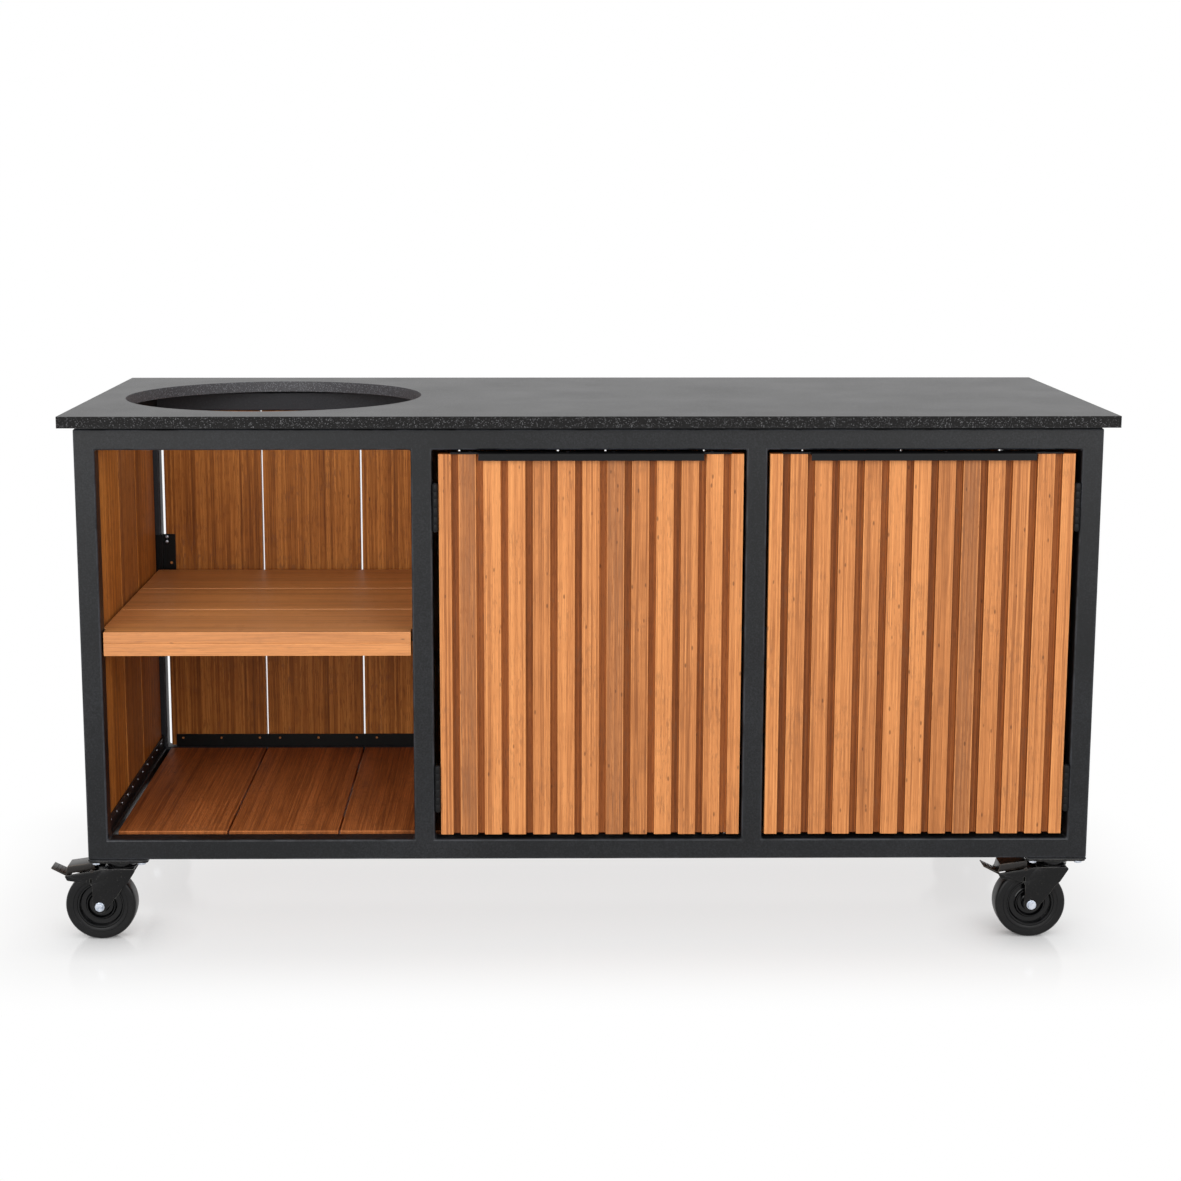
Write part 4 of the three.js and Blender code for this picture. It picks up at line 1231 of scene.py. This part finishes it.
@dataclass
class Hinge:
    """Butt hinge: the leaf on the frame carries the pin, the other leaf is on the door."""

    side: str
    place: str
    sheet: float = 0.0022
    sheet_ease: float = 0.0005
    knuckle_radius: float = 0.0051
    knuckle_ease: float = 0.0006
    middle_knuckle: float = 0.031
    slit: float = 0.0003
    wrap: float = 0.008
    wrap_ease: float = 0.0003
    leaf_clearance: float = 0.0006
    cap: Bar = Bar(0.0, 0.0015, 0.0034, 24, 0.0007)
    screw: Bar = Bar(0.0, 0.0007, 0.0036, 20, 0.0004)
    screws: int = 3
    screw_from_axis: float = 0.0185

    def build(self) -> None:
        """Makes both leaves."""
        joint = next(j for j in frame["joints"] if j["name"] == f"{self.side}_door_hinge")
        x, y = joint["pos_m"][0], joint["pos_m"][1]
        self._leaf("frame_leaf", TABLE_BODY, x, y)
        self._leaf("door_leaf", f"{self.side}_door", x, y)

    def _leaf(self, leaf: str, body: str, x: float, y: float) -> None:
        """Makes one leaf with its knuckles and screws.

        Args:
            leaf: The end of its CAD node's name.
            body: The body that it rides on.
            x: The X of the hinge's axis.
            y: The Y of the hinge's axis.
        """
        node = f"{self.side}_door_hinge_{self.place}_{leaf}"
        low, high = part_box(node)
        carries_pin = leaf == "frame_leaf"
        outer = low.x if abs(low.x - x) > abs(high.x - x) else high.x
        way = math.copysign(1.0, x - outer)
        inner = outer + way * self.sheet
        left, right = min(outer, inner), max(outer, inner)
        cap = self.cap.end if carries_pin else 0.0
        top, bottom = high.z - cap, low.z + cap
        third = (top - bottom - self.middle_knuckle) / 2
        knuckles = [(bottom + third, top - third)]
        if carries_pin:
            knuckles = [(bottom, bottom + third - self.slit), (top - third + self.slit, top)]
        work = Workpiece()
        work.block((left, y + self.knuckle_radius + self.leaf_clearance, bottom), (right, high.y, top),
                   self.sheet_ease)
        for z0, z1 in knuckles:
            work.block((left, y, z0), (right, y + self.wrap, z1), self.wrap_ease)
            middle = (z0 + z1) / 2
            for a, b in ((z0, middle - self.slit), (middle + self.slit, z1)):
                work.rod((x, y, a), (x, y, b), self.knuckle_radius, 32, self.knuckle_ease)
        if carries_pin:
            for z, upwards in ((bottom, -1), (top, 1)):
                self.cap.put(work, (x, y, z), (0, 0, upwards))
        for i in range(self.screws):
            z = bottom + (i + 0.5) * (top - bottom) / self.screws
            self.screw.put(work, (inner, y + self.screw_from_axis, z), (way, 0, 0))
        work.piece(f"{self.side}_{self.place}_hinge_{leaf}", [FITTING_BLACK], body, node,
                   "black_steel", smooth=True)


@dataclass
class CupboardDoor:
    """Door of ribbed bamboo on steel bars, with its handle and hinges."""

    side: str
    weathered_ribs: tuple[int, ...]
    grooves: int = 12
    groove_width: float = 0.0126
    groove_depth: float = 0.011
    rib_width: float = 0.0297
    rib_ease: float = 0.0014
    rib_tones: Flat = (0.2, 0.95)
    weathered_tone: float = 0.05
    darkest_groove: float = 0.3
    seed: int = 21
    bar_width: float = 0.03
    bar_ease: float = 0.0009
    screws_in_bar: int = 5
    screw: Bar = Bar(-0.001, 0.0018, 0.0038, 16, 0.0012)
    handle_sheet: float = 0.003
    handle_ease: float = 0.0006
    handle_proud: float = 0.002
    handle_screw: Bar = Bar(-0.0002, 0.0012, 0.0028, 20, 0.0006)
    handle_screws: tuple[float, ...] = (-0.206, -0.039, 0.039, 0.206)
    handle_screw_inset: float = 0.006
    pull_half: float = 0.192

    @property
    def body(self) -> str:
        """The CAD body that the door is."""
        return f"{self.side}_door"

    def build(self) -> None:
        """Makes the whole door and its hinges."""
        self._cladding()
        self._bars()
        self._handle()
        for place in ("upper", "lower"):
            Hinge(self.side, place).build()

    def _cladding(self) -> None:
        """Makes the ribbed boards, each rib and groove with its own tone; the groove faces take a darker
        bamboo as painted shade.
        """
        low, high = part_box(f"{self.side}_door_cladding")
        pitch = self.groove_width + self.rib_width
        end = (high.x - low.x - self.grooves * pitch + self.rib_width) / 2
        floor = low.y + self.groove_depth
        outline = [(low.x, high.y), (low.x, low.y)]
        for i in range(self.grooves):
            start = low.x + end + i * pitch
            stop = start + self.groove_width
            outline += [(start, low.y), (start, floor), (stop, floor), (stop, low.y)]
        outline += [(high.x, low.y), (high.x, high.y)]
        work = Workpiece()
        faces = work.plate([in_xy(outline, low.z)], (0, 0, high.z - low.z), self.rib_ease, 3,
                           along_only=True)
        tones = random.Random(self.seed + len(self.side))
        ribs = [self.weathered_tone if i in self.weathered_ribs else tones.uniform(*self.rib_tones)
                for i in range(self.grooves + 1)]
        margin = 0.001
        for face in faces:
            middle = face.calc_center_median()
            across = middle.x - low.x - end + self.groove_width / 2
            tone = ribs[max(0, min(self.grooves, math.floor(across / pitch) + 1))]
            face[work.tone] = tone
            # Faces inside the grooves take the darker bamboo: painted shade in the recesses.
            in_width = low.x + end - margin < middle.x < high.x - end + margin
            if in_width and low.y + self.rib_ease < middle.y < floor + margin / 2:
                face.material_index = 1
                face[work.tone] = max(tone, self.darkest_groove)
        work.piece(f"{self.side}_door_ribs", [RIB_BAMBOO, GROOVE_BAMBOO_PAINTED_SHADE], self.body,
                   f"{self.side}_door_cladding", "ribs")

    def _bars(self) -> None:
        """Makes the steel bars behind the boards, with the screws that hold the boards."""
        low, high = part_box(f"{self.side}_door_bars")
        middle, half = (low.z + high.z) / 2, self.bar_width / 2
        left, right = low.x + self.bar_width, high.x - self.bar_width
        loops = [rectangle((low.x, low.z), (high.x, high.z)),
                 rectangle((left, low.z + self.bar_width), (right, middle - half)),
                 rectangle((left, middle + half), (right, high.z - self.bar_width))]
        work = Workpiece()
        work.plate([in_xz(loop, low.y) for loop in loops], (0, high.y - low.y, 0), self.bar_ease)
        for z in (low.z + half, middle, high.z - half):
            for i in range(self.screws_in_bar):
                x = low.x + half + i * (high.x - low.x - self.bar_width) / (self.screws_in_bar - 1)
                self.screw.put(work, (x, high.y, z), (0, 1, 0), skin=1)
        work.piece(f"{self.side}_door_back_bars", [FRAME_COAT, BOLT_ZINC], self.body,
                   f"{self.side}_door_bars", "frame")

    def _handle(self) -> None:
        """Makes the bent strip on the door's top edge."""
        low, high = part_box(f"{self.side}_door_handle")
        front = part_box(f"{self.side}_door_cladding")[0].y - self.handle_proud
        sheet, middle = self.handle_sheet, (low.x + high.x) / 2
        under, inner = high.z - sheet, low.y + sheet
        work = Workpiece()
        work.block((low.x, front, under), (high.x, high.y, high.z), self.handle_ease)
        bend = [(front + sheet, high.z), (inner, high.z), *arc((inner, under), sheet, 90, 180, 4)[1:],
                (low.y, low.z), (inner, low.z), (inner, under), (front + sheet, under)]
        work.plate([in_yz(bend, middle - self.pull_half)], (2 * self.pull_half, 0, 0),
                   self.handle_ease)
        for offset in self.handle_screws:
            seat = (middle + offset, front + self.handle_screw_inset, high.z)
            self.handle_screw.put(work, seat, (0, 0, 1))
        work.piece(f"{self.side}_door_pull", [FITTING_BLACK], self.body, f"{self.side}_door_handle",
                   "frame")


# Casters. Their profiles are metres from the axle, or from the swivel axis and the fork's top.


@dataclass
class Caster:
    """Braked swivel caster whose wheel trails towards -X."""

    corner: str
    x: float = field(init=False)
    y: float = field(init=False)
    crown: float = field(init=False)
    axle: Vector = field(init=False)
    sheet: float = 0.0035
    half_gap: float = 0.023
    wheel_steps: int = 72
    rim_side: tuple[Flat, ...] = (
        (0.0046, 0.021), (0.012, 0.021), (0.013, 0.02), (0.0138, 0.0105), (0.015, 0.0095),
        (0.021, 0.0095), (0.0224, 0.0105), (0.023, 0.0142), (0.024, 0.015), (0.0254, 0.0148),
        (0.026, 0.014), (0.0266, 0.0105), (0.028, 0.0095), (0.036, 0.0095), (0.0374, 0.0107),
        (0.038, 0.0164), (0.039, 0.0174), (0.041, 0.0174), (0.0416, 0.0168))
    tyre_side: tuple[Flat, ...] = (
        (0.0412, 0.0155), (0.0418, 0.0181), (0.0432, 0.019), (0.0476, 0.019), (0.0482, 0.0185),
        (0.0488, 0.019))
    tyre_shoulder: tuple[float, float] = (0.0062, 0.0132)
    shoulder_radius: float = 0.0058
    shoulder_turn: Flat = (88, 12)
    tyre_tread: tuple[Flat, ...] = ((0.0001, 0.0095), (0.0, 0.006))
    bolt_radius: float = 0.004
    washer: Bar = Bar(-0.0002, 0.0012, 0.0085, 32, 0.0004)
    nut: Bar = Bar(0.001, 0.0058, 0.0075, 6, 0.0007, 3)
    bolt_tip: Bar = Bar(0.0058, 0.006, 0.0036, 20)
    head_mark: tuple[Flat, ...] = ((0, -0.0001), (0.0046, -0.0001), (0.005, 0.0002), (0, 0.0002))
    plate_corner: float = 0.008
    plate_ease: float = 0.0006
    plate_bolts: Flat = (0.04, 0.03)
    plate_washer: Bar = Bar(-0.0012, 0.0005, 0.0076, 24, 0.0003)
    plate_nut: Bar = Bar(-0.005, -0.001, 0.0073, 6, 0.0005)
    race_gap: float = 0.0035
    race_overlap: float = 0.001
    upper_race: tuple[Flat, ...] = (
        (0.006, 0.0006), (0.0265, 0.0006), (0.0278, 0.0016), (0.0292, 0.004), (0.0316, 0.0068),
        (0.032, 0.0085))
    kingpin: tuple[Flat, ...] = (
        (0, -0.004), (0.0078, -0.004), (0.0098, -0.0024), (0.01, 0), (0.006, 0))
    kingpin_gap: float = 0.0005
    kingpin_overlap: float = 0.002
    fork_front: tuple[Flat, ...] = (
        (0.026, -0.0035), (0.0245, -0.0008), (0.022, 0), (-0.03, 0), (-0.096, -0.0115),
        (-0.098, -0.0135), (-0.0945, -0.0205), (-0.092, -0.0215), (-0.075, -0.0237),
        (-0.06, -0.0262), (-0.0525, -0.029))
    fork_rear: tuple[Flat, ...] = (
        (-0.004, -0.046), (0.004, -0.034), (0.012, -0.0265), (0.0245, -0.0065))
    fork_neck: float = -0.034
    fork_lobe: float = 0.012
    lobe_turn: Flat = (180, 333)
    fork_slot: tuple[Flat, Flat] = ((-0.0537, -0.0265), (-0.0503, -0.0175))
    slot_corner: float = 0.0016
    axle_hole: float = 0.0045
    fork_ease: float = 0.0007
    fork_sharpest: float = math.radians(30)
    crown_span: Flat = (-0.03, 0.0235)
    crown_overlap: float = 0.001
    crown_ease: float = 0.0008
    lower_race: tuple[Flat, ...] = (
        (0.0067, -0.0005), (0.0262, -0.0005), (0.027, 0.0004), (0.027, 0.0022), (0.0262, 0.003),
        (0.0067, 0.003))
    pedal_body: tuple[Flat, ...] = (
        (-0.0465, -0.001), (-0.049, 0), (-0.054, -0.0006), (-0.094, -0.0065), (-0.0982, -0.0215),
        (-0.0465, -0.0125))
    pedal_half: float = 0.0195
    pedal_ease: float = 0.001
    toe_drop: float = 0.0195
    toe: tuple[Flat, ...] = (
        (-0.0915, 0.0008), (-0.1232, 0.0172), (-0.1238, 0.0186), (-0.1232, 0.0198), (-0.094, 0.006))
    toe_half: float = 0.0165
    toe_ease: float = 0.0009
    toe_slope: Flat = (-0.0292, 0.0138)
    grip_start: Flat = (-0.098, 0.0079)
    grip: Bar = Bar(-0.013, 0.013, 0.0009, 12, 0.0003)
    grips: int = 4
    grip_spacing: float = 0.0065
    grip_sunk: float = 0.0002
    pivot: Bar = Bar(-0.0268, 0.0268, 0.003, 20, 0.0005)
    pivot_x: float = -0.05

    def __post_init__(self) -> None:
        """Reads where the caster is from its CAD nodes."""
        low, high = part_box(f"caster_{self.corner}_plate")
        self.x, self.y = (low.x + high.x) / 2, (low.y + high.y) / 2
        low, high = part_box(f"caster_{self.corner}_wheel")
        self.axle = (low + high) / 2
        self.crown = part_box(f"caster_{self.corner}_fork")[1].z - self.lower_race[-1][1]

    def build(self) -> None:
        """Makes the caster's five pieces."""
        self._wheel()
        self._axle_bolt()
        self._top_plate()
        self._fork()
        self._pedal()

    def _piece(self, work: Workpiece, name: str, finishes: Sequence[Any], body: str, node: str,
               slot: str, smooth: bool = True) -> None:
        """Ends one piece of this caster.

        Args:
            work: Its mesh.
            name: The end of its name.
            finishes: Its finishes.
            body: The end of its body's name, or the table's name.
            node: The end of its CAD node's name.
            slot: Not used; passed on to the piece, which ignores it.
            smooth: Shades its gentle corners as round.
        """
        whole = body if body == TABLE_BODY else f"{self.corner}_{body}"
        work.piece(f"{self.corner}_{name}", finishes, whole, f"caster_{self.corner}_{node}", slot,
                   smooth)

    def _wheel(self) -> None:
        """Makes the tyre on its rim, webs and hub."""
        low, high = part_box(f"caster_{self.corner}_wheel")
        radius = (high.z - low.z) / 2
        work = Workpiece()
        work.turned(both_halves(self.rim_side), self.axle, (0, 1, 0), self.wheel_steps, skin=1)
        inset, level = self.tyre_shoulder
        shoulder = arc((radius - inset, level), self.shoulder_radius, *self.shoulder_turn, 6)
        tread = [(radius - inward, distance) for inward, distance in self.tyre_tread]
        work.turned(both_halves([*self.tyre_side, *shoulder, *tread]), self.axle, (0, 1, 0),
                    self.wheel_steps)
        self._piece(work, "tyre_and_rim", [TYRE_RUBBER, HUB_PLASTIC], "wheel", "wheel", "wheel")

    def _axle_bolt(self) -> None:
        """Makes the axle bolt with its head, washers and nut."""
        reach = self.half_gap + self.sheet
        x, y, z = self.axle
        work = Workpiece()
        work.rod((x, y - reach, z), (x, y + reach, z), self.bolt_radius, 24)
        for way in (-1, 1):
            for part in (self.washer, self.nut):
                part.put(work, (x, y + way * reach, z), (0, way, 0))
        self.bolt_tip.put(work, (x, y + reach, z), (0, 1, 0))
        work.turned(self.head_mark, (x, y - reach - self.nut.end, z), (0, -1, 0), 24)
        self._piece(work, "axle_bolt", [BOLT_ZINC], "swivel", "axle", "zinc", smooth=False)

    def _top_plate(self) -> None:
        """Makes the top plate with the upper race, the kingpin and the four nuts."""
        low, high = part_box(f"caster_{self.corner}_plate")
        under = high.z - self.sheet
        race = self.crown + self.race_gap
        head = self.crown - self.sheet - self.kingpin_gap
        overlap = under + self.race_overlap
        work = Workpiece()
        work.plate([in_xy(rounded_rectangle(low.xy, high.xy, self.plate_corner), under)],
                   (0, 0, self.sheet), self.plate_ease)
        inner, outer = self.upper_race[0][0], self.upper_race[-1][0]
        cup = [*shifted(self.upper_race, 0, race), (outer, overlap), (inner, overlap)]
        work.turned(cup, (self.x, self.y, 0), (0, 0, 1), 48)
        top = race + self.kingpin_overlap
        pin = [*shifted(self.kingpin, 0, head), (self.kingpin[-1][0], top), (0, top)]
        work.turned(pin, (self.x, self.y, 0), (0, 0, 1), 32)
        along, across = self.plate_bolts
        for x in (self.x - along, self.x + along):
            for y in (self.y - across, self.y + across):
                for part in (self.plate_washer, self.plate_nut):
                    part.put(work, (x, y, under), (0, 0, 1), skin=1)
        self._piece(work, "top_plate", [CASTER_BLACK, BOLT_ZINC], TABLE_BODY, "plate", "black_steel")

    def _fork(self) -> None:
        """Makes the fork: two legs with brake arms, the crown and the lower race."""
        x, y, top = self.x, self.y, self.crown
        hub = (self.axle.x, self.axle.z)
        outline = shifted(self.fork_front, x, top)
        outline.append((hub[0] - self.fork_lobe, top + self.fork_neck))
        outline += arc(hub, self.fork_lobe, *self.lobe_turn, 12) + shifted(self.fork_rear, x, top)
        slot = rounded_rectangle(*shifted(self.fork_slot, x, top), self.slot_corner)
        hole = arc(hub, self.axle_hole, 0, 360, 20)[:-1]
        work = Workpiece()
        for side in (y - self.half_gap - self.sheet, y + self.half_gap):
            work.plate([in_xz(loop, side) for loop in (outline, slot, hole)], (0, self.sheet, 0),
                       self.fork_ease, ordered=True, sharpest=self.fork_sharpest)
        half = self.half_gap + self.crown_overlap
        rear, front = self.crown_span
        work.block((x + rear, y - half, top - self.sheet), (x + front, y + half, top), self.crown_ease)
        work.turned(shifted(self.lower_race, 0, top), (x, y, 0), (0, 0, 1), 48)
        self._piece(work, "fork", [CASTER_BLACK], "swivel", "fork", "black_steel")

    def _pedal(self) -> None:
        """Makes the brake pedal: a bent body, a toe plate with grip ribs, and the pivot."""
        x, y = self.x, self.y
        root = self.crown - self.toe_drop
        body = shifted(self.pedal_body, x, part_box(f"caster_{self.corner}_pedal")[1].z)
        work = Workpiece()
        toe = shifted(self.toe, x, root)
        work.plate([in_xz(body, y - self.pedal_half)], (0, 2 * self.pedal_half, 0), self.pedal_ease, 3)
        work.plate([in_xz(toe, y - self.toe_half)], (0, 2 * self.toe_half, 0), self.toe_ease, 3)
        along, rise = self.toe_slope
        slope = Vector((along, 0, rise)).normalized()
        up = Vector((rise, 0, -along)).normalized()
        start = Vector((x + self.grip_start[0], y, root + self.grip_start[1])) - up * self.grip_sunk
        for i in range(self.grips):
            self.grip.put(work, start + slope * (self.grip_spacing * i), (0, 1, 0))
        self.pivot.put(work, (x + self.pivot_x, y, self.crown - self.sheet), (0, 1, 0))
        self._piece(work, "brake_pedal", [PEDAL_STEEL], "pedal", "pedal", "pedal")


# Studio


@dataclass(frozen=True)
class SoftBox:
    """Soft square lamp that hangs in the studio and faces a point."""

    name: str
    place: tuple[float, float, float]
    aim: tuple[float, float, float]
    size: float
    watts: float
    in_mirrors: bool = True

    def hang(self) -> None:
        """Makes the lamp."""
        data = bpy.data.lights.new(self.name, "AREA")
        data.shape = "SQUARE"
        data.size = self.size
        data.energy = self.watts
        lamp = bpy.data.objects.new(self.name, data)
        bpy.context.scene.collection.objects.link(lamp)
        lamp.location = self.place
        way = Vector(self.aim) - Vector(self.place)
        lamp.rotation_euler = way.to_track_quat("-Z", "Y").to_euler()
        lamp.visible_glossy = self.in_mirrors


LAMPS = (
    SoftBox("key_softbox", (-1.5, -3.1, 1.5), (0.0, 0.0, 0.5), 2.4, 63.0),
    SoftBox("fill_softbox", (1.6, -3.1, 1.5), (0.1, 0.0, 0.5), 2.4, 50.0),
    SoftBox("rear_softbox", (0.3, 2.6, 2.6), (0.0, 0.0, 0.5), 2.2, 38.0, in_mirrors=False),
)


@dataclass
class Studio:
    """Pale floor, soft lamps and the camera at the photograph's angle."""

    camera_place: tuple[float, float, float] = (-0.06305, -3.978, 1.3453)
    yaw: float = math.radians(0.4549)
    pitch: float = math.radians(9.6076)
    roll: float = math.radians(0.0141)
    lens: float = 65.86
    sensor: float = 36.0
    shift: Flat = (0.0303, -0.0448)
    floor_size: float = 60.0
    floor_colour: Colour = (0.86, 0.86, 0.86, 1)
    floor_roughness: float = 0.12
    footprint: Flat = (0.88, 0.33)
    white_near: float = 0.67
    white_reach: float = 0.33
    contact_reach: float = 0.12
    contact_depth: float = 0.9
    surround: float = 0.5

    def build(self) -> None:
        """Makes the floor, the world, the lamps and the camera."""
        self._floor()
        self._world()
        for lamp in LAMPS:
            lamp.hang()
        self._camera()

    def _floor(self) -> None:
        """Makes the floor. It shades round the table and goes over into white away from it."""
        mesh = bmesh.new()
        bmesh.ops.create_grid(mesh, x_segments=1, y_segments=1, size=self.floor_size / 2)
        data = bpy.data.meshes.new("studio_floor")
        mesh.to_mesh(data)
        mesh.free()
        made = bpy.data.objects.new("studio_floor", data)
        bpy.context.scene.collection.objects.link(made)
        data.materials.append(self._floor_material())

    def _floor_material(self) -> bpy.types.Material:
        """Builds the floor's shader, with a soft shadow where something stands on it."""
        shader = Shader("studio_white")
        shader.dress(Base_Color=self.floor_colour, Roughness=self.floor_roughness)
        place = shader.split(shader.place)
        beside, ahead = ((abs(place[axis]) - half).math("MAXIMUM", 0.0)
                         for axis, half in zip("XY", self.footprint))
        away = (beside ** 2 + ahead ** 2) ** 0.5
        white = away.fade(0.0, self.white_reach) * (1 - self.white_near) + self.white_near
        near = shader.node("ShaderNodeAmbientOcclusion", {"samples": 8}, {
            "Distance": self.contact_reach})
        white = white * (1 - (1 - Number(shader, near.outputs["AO"]) ** 2) * self.contact_depth)
        glow = shader.node("ShaderNodeEmission", {}, {"Strength": 1.0})
        mixed = shader.node("ShaderNodeMixShader", {}, {
            0: white * self._seen(shader), 1: shader.surface.outputs["BSDF"], 2: glow.outputs[0]})
        shader.feed(shader.output.inputs["Surface"], mixed.outputs[0])
        return shader.material

    @staticmethod
    def _seen(shader: Shader) -> Number:
        """One where the camera sees a thing, also in a mirror or through glass, else zero."""
        path = shader.node("ShaderNodeLightPath").outputs
        seen = Number(shader, path["Is Camera Ray"])
        for ray in ("Is Glossy Ray", "Is Transmission Ray"):
            seen = seen.math("MAXIMUM", Number(shader, path[ray]))
        return seen

    def _world(self) -> None:
        """Makes a surround that lights softly and shows as white."""
        world = bpy.data.worlds.new("studio_surround")
        bpy.context.scene.world = world
        world.use_nodes = True
        shader = Shader.around(world)
        strength = self._seen(shader) * (1 - self.surround) + self.surround
        light = shader.node("ShaderNodeBackground", {}, {"Color": (1, 1, 1, 1), "Strength": strength})
        shader.node("ShaderNodeOutputWorld", {}, {"Surface": light.outputs[0]})

    def _camera(self) -> None:
        """Sets up the camera."""
        data = bpy.data.cameras.new("photo_camera")
        data.sensor_width = self.sensor
        data.lens = self.lens
        data.shift_x, data.shift_y = self.shift
        camera = bpy.data.objects.new("photo_camera", data)
        bpy.context.scene.collection.objects.link(camera)
        camera.location = self.camera_place
        turn = Matrix.Rotation(-self.yaw, 4, "Z") @ Matrix.Rotation(math.pi / 2 - self.pitch, 4, "X")
        camera.rotation_euler = (turn @ Matrix.Rotation(self.roll, 4, "Z")).to_euler()
        bpy.context.scene.camera = camera


def main() -> None:
    """Builds every sub-assembly in order."""
    logging.basicConfig(level=logging.INFO, format="%(name)s %(message)s")
    lip_low, lip_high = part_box("shelf_front_lip")
    Worktop((lip_low.x + lip_high.x) / 2).build()
    boards = BoardWork()
    back_low, back_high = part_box("back_wall")
    SteelFrame(boards.spans(back_low.x, back_high.x)).build()
    boards.build()
    ShelfUnit().build()
    CupboardDoor("left", weathered_ribs=(1, 7)).build()
    CupboardDoor("right", weathered_ribs=(8,)).build()
    for corner in ("front_left", "front_right", "rear_left", "rear_right"):
        Caster(corner).build()
    Studio().build()
    bpy.context.scene.view_settings.view_transform = "Standard"


if __name__ == "__main__":
    main()
